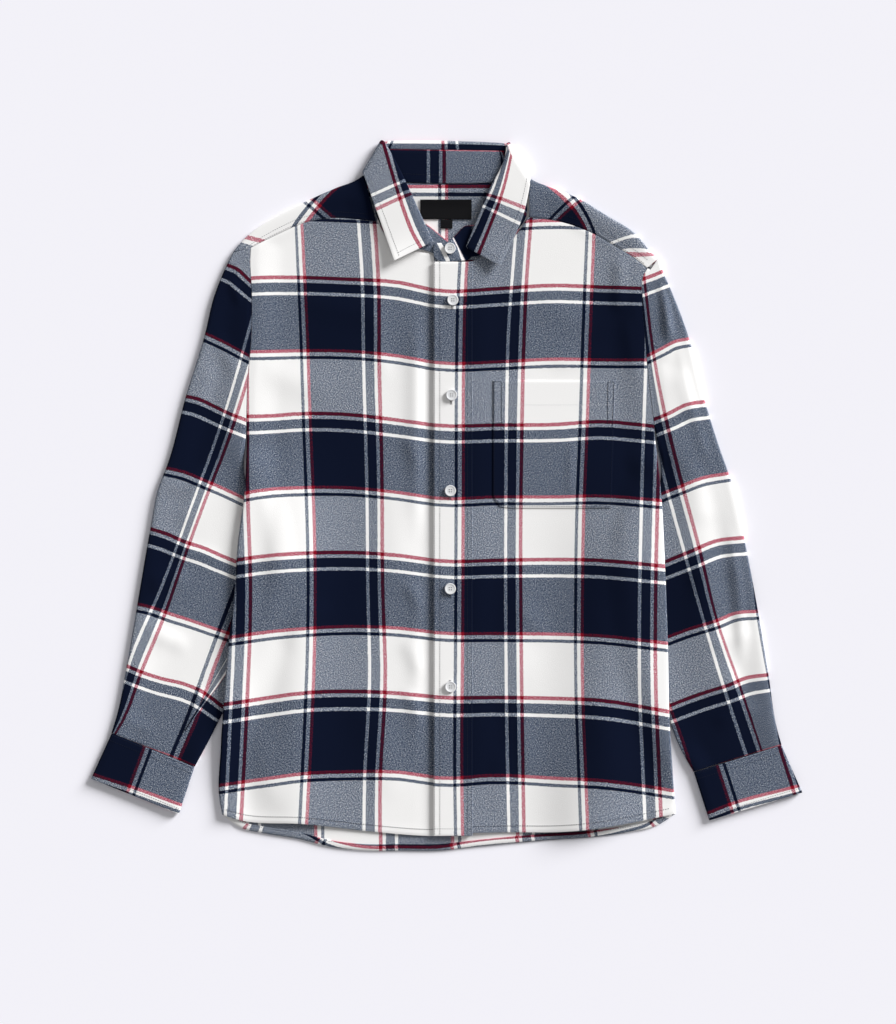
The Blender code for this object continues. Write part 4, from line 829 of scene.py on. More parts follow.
def sleeve_layer(side, up):
    """Plan and height of one layer, a row for each section from the sleeve's head to the cuff."""
    sign, tip = SIGN[side], np.array(SHOULDER[side][-1])
    armpit_y = ARMPIT_Y[side]
    corner_y = YOKE_FRONT[side][0][1] if up > 0 else YOKE_SEAM_Y
    seam_y = np.linspace(corner_y, armpit_y, SEAM_SECTIONS)[:-1]
    tuck = np.linspace(0, 1, TUCK_SECTIONS)
    seam = np.column_stack([x_at(armhole_line[side], seam_y), seam_y])
    inner = np.concatenate([seam, along(line(SLEEVE_INNER[side]), tuck)])
    pit_share = SEAM_SECTIONS / (SEAM_SECTIONS + TUCK_SECTIONS)
    outer = along(outer_line[side], np.concatenate([np.linspace(0, pit_share, SEAM_SECTIONS)[:-1],
                                                    pit_share + (1 - pit_share) * tuck]))
    t = np.concatenate([np.zeros(SEAM_SECTIONS - 1), tuck])
    tight = smooth(t / TUCK_START) - smooth((t - TUCK_END[0]) / TUCK_END[1])
    radius = FOLD + (TUCK_FOLD - FOLD) * tight
    curl = np.maximum(1 - smooth((inner[:, 1] - armpit_y) / CURL_START), LEAST_CURL)
    curl = np.where(t > 0, 1, curl)
    sweep = math.pi / 2 * curl
    into = sideways(inner) * sign
    top_in = FLOOR_LAYER + 2 * radius * (up > 0)
    plan = np.zeros((len(inner), 2 * len(ROLL_PARTS) + len(ACROSS), 2))
    height = np.full(plan.shape[:2], FLOOR_LAYER)
    for j, part in enumerate(ROLL_PARTS):
        left = sweep * (1 - part)
        reach = SEAM + CLOTH / 2 * np.sin(sweep) + radius / curl * (np.sin(sweep) - np.sin(left))
        plan[:, j] = inner + into * reach[:, None]
        height[:, j] = top_in - up * radius / curl * (1 - np.cos(left))
    corner = inner[0]
    below_head = smooth(np.linalg.norm(outer - outer[0], axis=1) / HEAD_TURN)[:, None]
    turned_in = unit(corner - tip) + (-sign * sideways(outer) - unit(corner - tip)) * below_head
    turned_in /= np.linalg.norm(turned_in, axis=1)[:, None]
    for j, part in enumerate(ROLL_PARTS):
        turn = math.pi / 2 * part
        plan[:, -1 - j] = outer + turned_in * (CLOTH / 2 + FOLD * (1 - math.cos(turn)))
        height[:, -1 - j] = FLOOR_LAYER + FOLD + up * FOLD * math.sin(turn)
    first, last = len(ROLL_PARTS) - 1, len(ROLL_PARTS) + len(ACROSS)
    f = ACROSS[None, :, None]
    plan[:, first + 1:last] = plan[:, first:first + 1] * (1 - f) + plan[:, last:last + 1] * f
    x, y = plan[:, first + 1:last, 0], plan[:, first + 1:last, 1]
    if up < 0:
        height[:, first + 1:last] += folds(x, y, SLEEVE_UNDER_FOLDS[side])
    else:
        head = np.concatenate([[tip], armhole_line[side]])
        z = np.full(x.shape, FRONT_REST)
        z_out = FLOOR_LAYER + 2 * FOLD
        from_tuck = distance(x, y, inner_line[side]) - radius[:, None] - PAST_FOLD
        z = z + (top_in[:, None] - z) * (1 - smooth(from_tuck / TUCK_REACH))
        from_seam = distance(x, y, head) - HEAD_FLAT
        from_edge = distance(x, y, outer_line[side]) - FOLD - PAST_FOLD
        z = z + (z_out - z) * (1 - smooth(from_seam / SEAM_REACH))
        z = z + (z_out - z) * (1 - smooth(from_edge / EDGE_REACH))
        calm = math.prod(smooth(away / FOLD_REACH) for away in (from_seam, from_edge, from_tuck))
        height[:, first + 1:last] = z + folds(x, y, SLEEVE_FOLDS[side]) * calm
    along_head = unit(tip - corner)
    plan[0] += np.array((along_head[1], -along_head[0])) * np.sign(-along_head[0]) * -SEAM
    plan[-1] -= unit(np.array(CUFF_END[side][0]) - SLEEVE_INNER[side][-1]) * SEAM
    return plan, height, outer


def sleeve(side):
    """A flattened tube: each ring runs from the inner edge over the top and back underneath."""
    over, over_z, outer = sleeve_layer(side, 1)
    below, below_z, _ = sleeve_layer(side, -1)
    square = sideways(outer)[:, None]
    away = ((outer[:, None] - below) * square).sum(axis=2)[..., None]
    back_way = slice(-2, None, -1)
    plan = np.concatenate([over, below[:, back_way]], axis=1)
    flat = np.concatenate([over, (below + 2 * away * square)[:, back_way]], axis=1)
    height = np.concatenate([over_z, below_z[:, back_way]], axis=1)
    return np.concatenate([plan, height[..., None]], axis=2), flat


def cuff_pleat():
    """The fold that lies over the right sleeve above its cuff, from its hidden root to its edge."""
    t = np.linspace(0, 1, 40)
    root, edge = along(line(PLEAT_LINE), t), along(line(PLEAT_EDGE), t)
    rows, places = [], []
    for part in np.linspace(0, 1, 7):
        plan = root + (edge - root) * part
        x, y = plan.T
        rise = PLEAT_ROOT + (PLEAT_LIFT - PLEAT_ROOT) * smooth(part / PLEAT_RISE)
        rows.append(np.stack([x, y, FRONT_REST + folds(x, y, SLEEVE_FOLDS["right"]) + rise], axis=-1))
        warp = PLEAT_WARP[0] + (PLEAT_WARP[1] - PLEAT_WARP[0]) * part
        places.append(np.stack([np.full(len(x), warp), woven(x, y, SLEEVE_WEFT["right"])], axis=-1))
    return np.array(rows), np.array(places)


for side in SIDES:
    points, flat = sleeve(side)
    grids = [(points, plan_places(flat, SLEEVE_WARP[side], SLEEVE_WEFT[side]))]
    if side == "right":
        grids.append(cuff_pleat())
    piece = cloth_sheet(f"sleeve_panel_{side}", f"sleeve_{side}", grids, CLOTH, tube=True)

# ---------------------------------------------------------------- cuffs
# A band of doubled, interlined flannel sewn to each sleeve's end and buttoned underneath. The
# band lies pressed flat, its plaid turned against the sleeve's.
DOUBLE = 1.8
CUFF_FOLD = 2.0
CUFF_WARP = {
    "right": [(154, [(-344, -287), (-362, -335)]), (80, [(-275, -313), (-293, -361)])],
    "left": [(154, [(308, -307), (324, -356)]), (80, [(379, -287), (396, -340)])],
}
CUFF_WEFT = {
    "right": [(-2, [(-404, -317), (-361, -331), (-303, -352)])],
    "left": [(-2, [(296, -362), (324, -351), (391, -333)])],
}
CUFF_ROWS = 14
CUFF_TURNS = np.radians(np.linspace(0, 90, 7))
CUFF_FLATS = np.linspace(0.06, 0.94, 24)
CUFF_DIP = 0.12        # the top sags by this share of the fold's radius
DIP_REACH = 0.3


def cuff(side):
    """A flattened ring for each row: from the inner edge over the top and back underneath."""
    cuff_in, cuff_out = np.array(SLEEVE_INNER[side][-1]), np.array(SLEEVE_OUTER[side][-1])
    end_in, end_out = (np.array(p) for p in CUFF_END[side])
    middle = DOUBLE / 2 + CUFF_FOLD
    places = ([("in", angle) for angle in CUFF_TURNS] + [("flat", share) for share in CUFF_FLATS]
              + [("out", angle) for angle in CUFF_TURNS[::-1]])
    rings = []
    for row in np.linspace(0, 1, CUFF_ROWS):
        seam = unit(end_in - cuff_in) * SEAM * (row == 0)
        inner = cuff_in + (end_in - cuff_in) * row + seam
        outer = cuff_out + (end_out - cuff_out) * row + seam
        width = np.linalg.norm(outer - inner)
        aim = (outer - inner) / width
        layers = {1: [], -1: []}
        for up, (kind, value) in itertools.product(layers, places):
            if kind == "flat":
                point = inner + aim * width * value
                dip = CUFF_DIP * smooth(min(value, 1 - value) / DIP_REACH)
                z = middle + CUFF_FOLD * (1 - dip if up > 0 else -1)
            else:
                reach = DOUBLE / 2 + CUFF_FOLD * (1 - math.cos(value))
                point = inner + aim * reach if kind == "in" else outer - aim * reach
                z = middle + up * CUFF_FOLD * math.sin(value)
            opened = point if up > 0 else point + 2 * ((outer - point) @ aim) * aim
            layers[up].append((*point, z, *opened))
        rings.append(layers[1] + layers[-1][-2::-1])
    rings = np.array(rings)
    return rings[..., :3], rings[..., 3:]


for side in SIDES:
    points, flat = cuff(side)
    piece = cloth_sheet(f"cuff_band_{side}", f"cuff_{side}",
                        [(points, plan_places(flat, CUFF_WARP[side], CUFF_WEFT[side]))],
                        DOUBLE, tube=True)

# ---------------------------------------------------------------- collar
# A stand and a leaf, each of two layers of flannel and an interlining. The leaf turns down over
# the stand, lies under the neck at the back, and its two points rest on the fronts.
CREASE_TOP = {"right": (-74.9, 405.8), "left": (71.8, 403.4)}
CREASE_EDGE = {"right": (-96.0, 369.6), "left": (94.6, 365.3)}
ROLL = 1.3
STAND_FALL = 42
LEAF_BACK_FALL = 49
ROLL_STRIP = 11
LEAF_FOLD = {"right": [(-66.1, 395.6), (-14.5, 289.0)],
             "left": [(66.8, 391.0), (45.0, 342.8), (21.6, 283.6)]}
LEAF_EDGE = {"right": [(-93.7, 363.0), (-59.5, 266.6)],
             "left": [(95.5, 357.0), (88.0, 322.0), (61.0, 260.0)]}
NECK_RUN = {
    "right": [(-86, 342), (-77.6, 313.2), (-63.6, 292.3), (-47.4, 283.1), (-31.5, 279.7)],
    "left": [(90.6, 340), (90.8, 318.2), (77.9, 299.2), (60.0, 286.5), (42.0, 276.1), (28.8, 269.0)],
}
# along the front of each side, from the crease (0) to the collar's front end (1)
COLLAR_HEIGHTS = {
    #          place, stand top, roll, leaf edge
    "right": [(0.0, 6.2, 7.5, 8.8), (0.4, 6.2, 7.5, 8.5), (0.65, 5.3, 7.2, 7.8),
              (0.8, 3.8, 7.4, 8.8), (0.9, 3.5, 7.1, 10.0), (1.0, 2.8, 6.7, 11.4)],
    "left": [(0.0, 6.2, 7.5, 8.8), (0.4, 6.2, 7.5, 8.5), (0.65, 5.5, 6.8, 7.8),
             (0.8, 2.8, 6.3, 8.6), (0.9, 2.8, 6.25, 10.0), (1.0, 2.8, 6.25, 11.4)],
}
STAND_UNDER_END = [
    # top x, top y, foot x, foot y, z
    (11, 281.0, 11, 268.0, 2.4), (5, 286.5, 5, 266.6, 2.4), (-2, 292.0, -3, 267.6, 2.5),
    (-11, 299.5, -14, 275.4, 2.7), (-19, 306.0, -25, 279.2, 3.2),
]
STAND_TAB = [
    # top x, top y, foot x, foot y, z
    (25.0, 307.5, 36.0, 272.8, 2.8), (19.2, 306.1, 28.5, 272.0, 2.8), (12.5, 298.8, 26.0, 269.5, 2.8),
    (8.4, 294.8, 22.5, 267.8, 3.6), (3.5, 290.0, 15.0, 267.2, 4.95), (-3, 287.6, 4, 266.6, 4.95),
    (-9, 287.2, -7, 266.4, 4.95), (-12.5, 286.6, -11.6, 268.4, 4.95), (-15.6, 280.5, -14.6, 273.0, 4.95),
]
LEAF_ACROSS = {
    "right": [(80, [(-71, 398), (-65, 377), (-54, 341), (-45, 314), (-38, 297), (-30, 283)]),
              (61.75, [(-50, 384), (-42.5, 356), (-31.5, 331), (-24.5, 314), (-14, 291)])],
    "left": [(61.75, [(63, 378), (50.5, 344), (42.5, 329), (31.5, 304), (23.5, 289)]),
             (80, [(74, 395), (68, 365), (60, 336), (49, 307), (36, 274)])],
}
LEAF_ALONG = {
    "right": [(236, [(-81, 325), (-53, 338), (-41, 343)]), (217.75, [(-86, 341), (-50, 357)])],
    "left": [(-94.25, [(41, 329), (57, 321), (84, 308)]), (-76, [(44, 342), (61, 337), (88, 327)])],
}
CREST_PLACE = 78.5     # the plaid's place on the roll at the back of the neck
STAND_RED_X = -3
UNDER_END_SHIFT = 58   # the stand's end under the tab shows the grey of white on navy
UNDER_END_Y = 340
TAB_WARP = [(113, [(-15, 272), (25, 286)])]
TAB_WEFT = [(61.75, [(-9, 286), (0, 268)]), (72, [(7, 290), (14, 268)])]
TAB_NAVY = 30          # the tab comes out from under the leaf in navy
TAB_NAVY_ROWS = 10
STAND_RED = 80         # the plaid's place on the red stripe, and at the stand's top edge
STAND_TOP = 155
STAND_BACK = (66, 360)  # nearer the middle than that, and above that, the stand lies straight
TABLE_SIDE = 100       # a side of the collar counts as this long in the table of heights
FOOT_RISE = (0.06, 0.3)
CREST_ROUND = 0.4
STRAIGHT_TO = 0.6      # towards the front the strip above the stand turns and grows narrow
NARROW_TO = 0.8
LEAST_STRIP = 1.4
LEAF_BOW = 1.4
STRIP_ROWS = (1, 0.75, 0.5, 0.25)

CREASE_TURNS = np.radians(np.linspace(0, 180, 13))
FRONT_STATIONS = np.linspace(0.035, 1, 30)
BACK_STATIONS = np.linspace(0.04, 0.96, 32)
ROLL_ANGLES = np.radians(np.linspace(0, 180, 9))
LEAF_ROWS = np.linspace(0, 1, 17)[1:]
STAND_ROWS = np.linspace(0, 1, 9)


def crease(side):
    """Axis point, direction to the crest and outward direction of the fold over the shoulder."""
    top, edge = np.array(CREASE_TOP[side]), np.array(CREASE_EDGE[side])
    toward = unit(top - edge)
    outward = np.array((toward[1], -toward[0])) * SIGN[side]
    return top - outward * (3 * ROLL + DOUBLE / 2), toward, outward


def station(centre, sep, toward, foot, edge, stand_z=None, place=0, side=None):
    """One section of the collar: its roll, its two directions, and its lower ends."""
    return dict(centre=np.array(centre), sep=np.array(sep), toward=np.array((*toward, 0)),
                foot=np.array(foot), edge=np.array(edge), stand_z=stand_z, place=place, side=side)


def collar_stations():
    """Sections round the neck, from the wearer's right front to the left front."""
    halves, tops = [], []
    axis_z = DOUBLE / 2 + 3 * ROLL
    for side in SIDES:
        pivot, toward, outward = crease(side)
        fold, edge = line([pivot] + LEAF_FOLD[side]), line(LEAF_EDGE[side])
        neck = line([pivot - toward * STAND_FALL] + NECK_RUN[side])
        heights = line(np.array(COLLAR_HEIGHTS[side]) * (TABLE_SIDE, 1, 1, 1))
        run = []
        for place in FRONT_STATIONS:
            crest, foot, rim = along(fold, place), along(neck, place), along(edge, place)
            stand_z, roll_z, edge_z = (np.interp(place * TABLE_SIDE, heights[:, 0], column)
                                       for column in heights.T[1:])
            foot_z = float(front_z(*foot, side)) + (DOUBLE - CLOTH) / 2
            foot_z += (axis_z + ROLL - foot_z) * (1 - smooth((place - FOOT_RISE[0]) / FOOT_RISE[1]))
            to_crest = unit(unit(crest - foot) + unit(crest - rim))
            centre = crest - to_crest * (ROLL + DOUBLE / 2)
            run.append(station((*centre, roll_z), (0, 0, 1.0), to_crest, (*foot, foot_z),
                               (*rim, edge_z), stand_z, place, side))
        turn = []
        edge_fall = np.linalg.norm(np.array(CREASE_TOP[side]) - CREASE_EDGE[side])
        last_fall = np.dot(pivot - np.array(LEAF_EDGE[side][0]), toward)
        for angle in CREASE_TURNS[::-1]:
            sep = np.array((*(outward * math.sin(angle)), -math.cos(angle)))
            hub = np.array((*pivot, axis_z)) + 2 * ROLL * sep
            up = np.array((*toward, 0))
            fall = edge_fall + (last_fall - edge_fall) * smooth((angle - math.pi / 2) / (math.pi / 2))
            turn.append(station(hub - up * (ROLL + DOUBLE / 2), sep, toward,
                                hub - sep * ROLL - up * STAND_FALL, hub + sep * ROLL - up * fall))
        tops.append((pivot, edge_fall))
        halves.append(run[::-1] + turn)
    (pivot_r, fall_r), (pivot_l, fall_l) = tops
    back = []
    for place in BACK_STATIONS:
        middle = math.sin(math.pi * place)
        crest = pivot_r + (pivot_l - pivot_r) * place
        crest[1] += (CREASE_TOP["right"][1] - pivot_r[1]) * middle ** CREST_ROUND
        foot = along(neck_back_line, place) + np.array((0, SEAM))
        up = unit(crest - foot)
        fall = (fall_r + (fall_l - fall_r) * place) * (1 - middle) + LEAF_BACK_FALL * middle
        back.append(station((*(crest - up * (ROLL + DOUBLE / 2)), axis_z - 2 * ROLL), (0, 0, -1.0), up,
                            (*foot, axis_z - ROLL), (*(crest - up * fall), DOUBLE / 2)))
    return halves[0] + back + halves[1][::-1]


def leaf_strip(s):
    """Where the leaf's roll begins, and the run of leaf down to its seam with the stand."""
    start = s["centre"] - s["sep"] * ROLL
    down = unit(unit(s["foot"] - start) * (1 - smooth(s["place"] / STRAIGHT_TO)) - s["toward"])
    strip = ROLL_STRIP - ROLL - DOUBLE / 2
    return start, down, max(strip * (1 - smooth(s["place"] / NARROW_TO)), LEAST_STRIP)


def collar_leaf(stations):
    """Leaf: a strip above the stand, the roll, and the turned-down side out to its edge."""
    grid = []
    for s in stations:
        centre, sep, toward = s["centre"], s["sep"], s["toward"]
        start, down, strip = leaf_strip(s)
        points = [start + down * strip * t for t in STRIP_ROWS]
        for angle in ROLL_ANGLES:
            points.append(centre - sep * ROLL * math.cos(angle) + toward * ROLL * math.sin(angle))
        begin = centre + sep * ROLL
        for t in LEAF_ROWS:
            point = begin + (s["edge"] - begin) * t
            point[2] = begin[2] + (s["edge"][2] - begin[2]) * (t ** LEAF_BOW if s["place"] else t)
            points.append(point)
        grid.append(points)
    return np.array(grid)


def leaf_places(grid, stations):
    """The plaid on the leaf: read from the threads on each point, carried round the back."""
    crest = len(STRIP_ROWS) + len(ROLL_ANGLES) // 2
    places = np.zeros(grid.shape[:2] + (2,))
    fronts = [k for k, s in enumerate(stations) if s["side"]]
    for k in fronts:
        side = stations[k]["side"]
        places[k, crest:] = plan_places(grid[k, crest:], LEAF_ALONG[side], LEAF_ACROSS[side])
    last_right = max(k for k in fronts if stations[k]["side"] == "right")
    first_left = min(k for k in fronts if stations[k]["side"] == "left")
    run = run_of(grid[last_right:first_left + 1, crest])
    for k, t in enumerate(run / run[-1], start=last_right):
        places[k, crest:] = places[last_right, crest:] * (1 - t) + places[first_left, crest:] * t
    carry = CREST_PLACE - places[last_right + 1:first_left, crest, 1]
    places[last_right + 1:first_left, crest:, 1] += carry[:, None]
    reach = np.linalg.norm(np.diff(grid[:, :crest + 1], axis=1), axis=2)[:, ::-1].cumsum(axis=1)
    places[:, :crest, 0] = places[:, crest:crest + 1, 0]
    places[:, :crest, 1] = places[:, crest:crest + 1, 1] - reach[:, ::-1]
    return places


def collar_stand(stations):
    """Stand: from the neck seam to the seam with the leaf, with its tab and the end under it."""
    edges = [(row[[2, 3, 4]], row[[0, 1, 4]]) for row in line(STAND_UNDER_END, 14)]
    for s in stations:
        if s["place"] <= NARROW_TO:
            start, down, strip = leaf_strip(s)
            top = start + down * (strip + GAP)
            if s["side"]:
                top[2] += s["stand_z"] - start[2]
            edges.append((s["foot"], top))
    tab_start = len(edges)
    edges += [(row[[2, 3, 4]], row[[0, 1, 4]]) for row in line(STAND_TAB, 26)]
    return np.array([[foot + (top - foot) * t for t in STAND_ROWS] for foot, top in edges]), tab_start


collar = collar_stations()
leaf_points = collar_leaf(collar)
leaf = cloth_sheet("collar_leaf_cloth", "collar_leaf",
                   [(leaf_points, leaf_places(leaf_points, collar))], DOUBLE)

stand_points, tab_start = collar_stand(collar)
middle_row = stand_points[:, len(STAND_ROWS) // 2]
middle_x, middle_y = middle_row[:, 0], middle_row[:, 1]
behind = (np.abs(middle_x) < STAND_BACK[0]) & (middle_y > STAND_BACK[1])
red = np.argmin(np.where(behind, np.abs(middle_x - STAND_RED_X), np.inf))
run = run_of(middle_row)
stand_places = np.zeros(stand_points.shape[:2] + (2,))
stand_places[..., 0] = (STAND_RED + run - run[red] - UNDER_END_SHIFT * (middle_y < UNDER_END_Y))[:, None]
stand_places[behind, :, 0] = STAND_RED + stand_points[behind, :, 0] - STAND_RED_X
stand_places[..., 1] = STAND_TOP + np.linalg.norm(stand_points - stand_points[:, -1:], axis=2)
stand_places[tab_start:, :, 0] = TAB_NAVY
buttoned = tab_start + TAB_NAVY_ROWS
stand_places[buttoned:] = plan_places(stand_points[buttoned:], TAB_WARP, TAB_WEFT)
stand = cloth_sheet("collar_stand_cloth", "collar_stand", [(stand_points, stand_places)], DOUBLE)

# ---------------------------------------------------------------- placket and pocket
# The placket is a folded band sewn down the left front's edge; the patch pocket has a turned,
# stitched top and one corner cut off. Both are flannel, matched to the front's plaid.
BAND = 1.6
PLACKET_Y = (265.9, -387.2)
PLACKET_WARP = [(154, [(23, 268.5), (20.3, 217), (19, 149), (18.6, 18), (17.9, -159), (17, -330),
                       (17.5, -364)])]
POCKET_TOP = ((52.6, 131.1), (192.1, 130.5))
POCKET_FOOT = ((60.8, -13.1), (187.3, -14.2))
POCKET_SIDE_X = 52.8
POCKET_CHAMFER_Y = -1.7
POCKET_SEAT = 0.05      # its sewn edges lie flat on the front
POCKET_WALL = 0.9
PUCKER = 0.12          # the placket is drawn in a little, this far in from its edges
PUCKER_INSET = 4.5
PUCKER_REACH = 2.5
PUCKER_WAVE = 0.55
PUCKER_SWAY = 0.11
CHAMFER_FROM = 0.92    # shares of the pocket's height where its corner is cut and its foot rises
FOOT_FROM = 0.8
FOOT_SHARE = 0.12
PLACKET_GRID = (190, 17)
POCKET_GRID = (46, 44)
PLACKET_LAYER = CLOTH / 2 + GAP + BAND / 2
POCKET_LAYER = (CLOTH + POCKET_WALL) / 2 + POCKET_SEAT

y, x = np.meshgrid(np.linspace(*PLACKET_Y, PLACKET_GRID[0]), np.linspace(*PLACKET_X, PLACKET_GRID[1]),
                   indexing="ij")
sunk = np.minimum(np.abs(x - PLACKET_X[0] - PUCKER_INSET), np.abs(x - PLACKET_X[1] + PUCKER_INSET))
wave = np.sin(y * PUCKER_WAVE + 2 * np.sin(y * PUCKER_SWAY)) - 1
pucker = PUCKER * np.exp(-((sunk / PUCKER_REACH) ** 2)) * wave
placket_points = np.stack([x, y, front_z(x, y, "left") + PLACKET_LAYER + pucker], axis=-1)
placket = cloth_sheet("placket_band", "placket",
                      [(placket_points, plan_places(placket_points, PLACKET_WARP, FRONT_WEFT))], BAND)


def on_pocket(t, f):
    """Place on the pocket, down its height and across it."""
    top_y, right_top = POCKET_TOP[0][1], np.array(POCKET_TOP[1])
    right = right_top + (np.array(POCKET_FOOT[1]) - right_top) * t
    cut = max(0, (t - CHAMFER_FROM) / (1 - CHAMFER_FROM))
    x0 = POCKET_SIDE_X + (POCKET_FOOT[0][0] - POCKET_SIDE_X) * cut
    y0 = top_y + (POCKET_CHAMFER_Y - top_y) * min(t / CHAMFER_FROM, 1)
    y0 += (POCKET_FOOT[0][1] - POCKET_CHAMFER_Y) * cut
    bend = f + (smooth(f / FOOT_SHARE) - f) * max(0, (t - FOOT_FROM) / (1 - FOOT_FROM))
    return x0 + (right[0] - x0) * f, y0 + (right[1] - y0) * bend


down, across = (np.linspace(0, 1, count) for count in POCKET_GRID)
x, y = np.array([[on_pocket(t, f) for f in across] for t in down]).T
pocket_points = np.stack([x.T, y.T, front_z(x.T, y.T, "left") + POCKET_LAYER], axis=-1)
pocket = cloth_sheet("chest_pocket", "pocket",
                     [(pocket_points, plan_places(pocket_points, FRONT_WARP["left"], FRONT_WEFT))],
                     POCKET_WALL)

# ---------------------------------------------------------------- neck label and size tab
# A black woven label sewn inside the yoke along its edges, with a small size tab caught below it.
# Both are left bare.
LABEL = 1.0
LABEL_X = (-30.2, 28.4)
LABEL_Y = (336.9, 314.6)
SIZE_TAB_X = (-6.7, 6.6)
SIZE_TAB_Y = (314.2, 304.0)
PATCH_SEAT = 0.45
PATCH_LAYER = CLOTH / 2 + PATCH_SEAT + LABEL / 2
RIB_HEIGHT = 0.1


def two_tone(name, texture, inputs, dark, light, roughness, specular, **settings):
    """A material whose colour runs between two tones as a texture does; also its shader and texture."""
    material, shader, tree = new_material(name, roughness, specular)
    place = add_node(tree, "TexCoord", {}).outputs["Object"]
    pattern = add_node(tree, texture, {"Vector": place, **inputs}, **settings).outputs["Fac"]
    tone = add_node(tree, "ValToRGB", {0: pattern})
    for stop, colour in zip(tone.color_ramp.elements, (dark, light)):
        stop.color = (*colour, 1)
    tree.links.new(tone.outputs[0], shader.inputs["Base Color"])
    return material, shader, pattern


woven_black, shader, ribs = two_tone(
    "black woven label", "TexWave", {"Scale": 520, "Distortion": 0.6, "Detail Scale": 40},
    dark=(0.0022, 0.0022, 0.0030), light=(0.0060, 0.0060, 0.0075), roughness=0.75, specular=0.12,
    bands_direction="Y")
raised = add_node(woven_black.node_tree, "Bump",
                  {"Strength": 0.4, "Distance": RIB_HEIGHT * MM, "Height": ribs})
woven_black.node_tree.links.new(raised.outputs[0], shader.inputs["Normal"])


def patch(name, node, xs, ys, cols, rows):
    """A flat black piece that lies inside the yoke."""
    y, x = np.meshgrid(np.linspace(*ys, rows), np.linspace(*xs, cols), indexing="ij")
    points = np.stack([x, y, back_z(x, y) + PATCH_LAYER], axis=-1)
    piece = cloth_sheet(name, node, [(points, points[..., :2])], LABEL,
                        material=woven_black)


patch("woven_label", "neck_label", LABEL_X, LABEL_Y, 30, 12)
patch("woven_size_tab", "size_tab", SIZE_TAB_X, SIZE_TAB_Y, 8, 6)

# ---------------------------------------------------------------- buttons
# White four-hole shirt buttons, moulded with a raised rim. The top one closes the collar stand, and
# the other five the placket.
BUTTON_RADIUS = 6.35
BUTTON_HEIGHT = 2.6
BUTTON_DISH = 0.35
BUTTON_RIM = 1.3
HOLE_RADIUS = 0.65
HOLE_SPACING = 1.7
DISH_SLOPE = 0.5
BUTTON_ROUND = 0.4
ROUNDED_FROM = math.radians(25)     # edges sharper than this are rounded
SHADED_FROM = math.radians(35)
DRILL = 8
BUTTONS = [
    # name, x, y
    ("button_collar", 3.8, 281.0),
    ("button_1", 7.0, 222.3),
    ("button_2", 5.6, 114.2),
    ("button_3", 4.2, 5.4),
    ("button_4", 4.1, -106.0),
    ("button_5", 4.4, -217.5),
]

button_white, shader, _ = two_tone("white button plastic", "TexNoise", {"Scale": 160, "Detail": 3},
                                   dark=(0.62, 0.63, 0.66), light=(0.86, 0.86, 0.86),
                                   roughness=0.25, specular=0.5)
shader.inputs["Coat Weight"].default_value = 0.2

bpy.ops.mesh.primitive_cylinder_add(vertices=40, radius=BUTTON_RADIUS * MM, depth=BUTTON_HEIGHT * MM,
                                    location=(0, 0, BUTTON_HEIGHT / 2 * MM))
blank = bpy.context.object
bpy.ops.object.transform_apply(location=True)
bpy.ops.object.mode_set(mode="EDIT")
bpy.ops.mesh.select_all(action="DESELECT")
bpy.ops.object.mode_set(mode="OBJECT")
for face in blank.data.polygons:
    face.select = face.normal.z > 0.9
bpy.ops.object.mode_set(mode="EDIT")
bpy.ops.mesh.inset(thickness=BUTTON_RIM * MM)
bpy.ops.mesh.inset(thickness=DISH_SLOPE * MM, depth=-BUTTON_DISH * MM)
bpy.ops.object.mode_set(mode="OBJECT")
edge_round = blank.modifiers.new("moulded edge", "BEVEL")
edge_round.width = BUTTON_ROUND * MM
edge_round.segments = 3
edge_round.angle_limit = ROUNDED_FROM
bpy.ops.object.modifier_apply(modifier="moulded edge")
for corner in range(4):
    angle = math.radians(45 + 90 * corner)
    bpy.ops.mesh.primitive_cylinder_add(
        vertices=14, radius=HOLE_RADIUS * MM, depth=DRILL * MM,
        location=(HOLE_SPACING * MM * math.cos(angle), HOLE_SPACING * MM * math.sin(angle), MM))
    drill = bpy.context.object
    pick(blank)
    hole = blank.modifiers.new("hole", "BOOLEAN")
    hole.operation = "DIFFERENCE"
    hole.object = drill
    bpy.ops.object.modifier_apply(modifier="hole")
    bpy.data.objects.remove(drill)
bpy.ops.object.shade_smooth_by_angle(angle=SHADED_FROM)
blank.data.materials.append(button_white)

for name, x, y in BUTTONS:
    pick(blank)
    bpy.ops.object.duplicate()
    button = bpy.context.object
    button.name = button.data.name = f"shirt_{name}"
    button.location = (x * MM, y * MM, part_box(name)[0][2])
    bpy.ops.object.transform_apply(location=True)
    part_of_shirt(button, name)
bpy.data.objects.remove(blank)
bpy.ops.object.select_all(action="DESELECT")

# ---------------------------------------------------------------- topstitching
# Rows of dark cotton thread, under four stitches to the centimetre, that hold the hems, placket,
# pocket, collar, cuffs and yoke. Each buttonhole is worked close in the same thread.
STITCH_LENGTH = 2.2
STITCH_PITCH = 2.8
THREAD = 0.5
THREAD_FLAT = 0.8      # a stitch's height for its width
THREAD_GAP = 0.08      # how far above the cloth the threads' middle lies
THREAD_SEAT = 0.1      # and above the fronts
WORKED_WIDTH = 0.95
BAND_ROWS_X = (PLACKET_X[0] + 1.2, PLACKET_X[0] + 7.3, PLACKET_X[1] - 5.8, PLACKET_X[1] - 1.2)
BAND_FOOT = 8
POCKET_INSET = 1.4
BAR_LENGTH = 50.6      # from the pocket's top edge down to the foot of its corner bars
BAR_SPACING = 1.5
POCKET_HEM_Y = 103.2
BACK_HEM_LAYER = 1.5 * CLOTH + 0.15
YOKE_SEAMS = (1.6, 7.5)
LEAF_INSET = 7
STAND_SEAM = slice(44, -59)     # the sections of the stand that show behind the neck
CUFF_TOP = slice(5, 33)
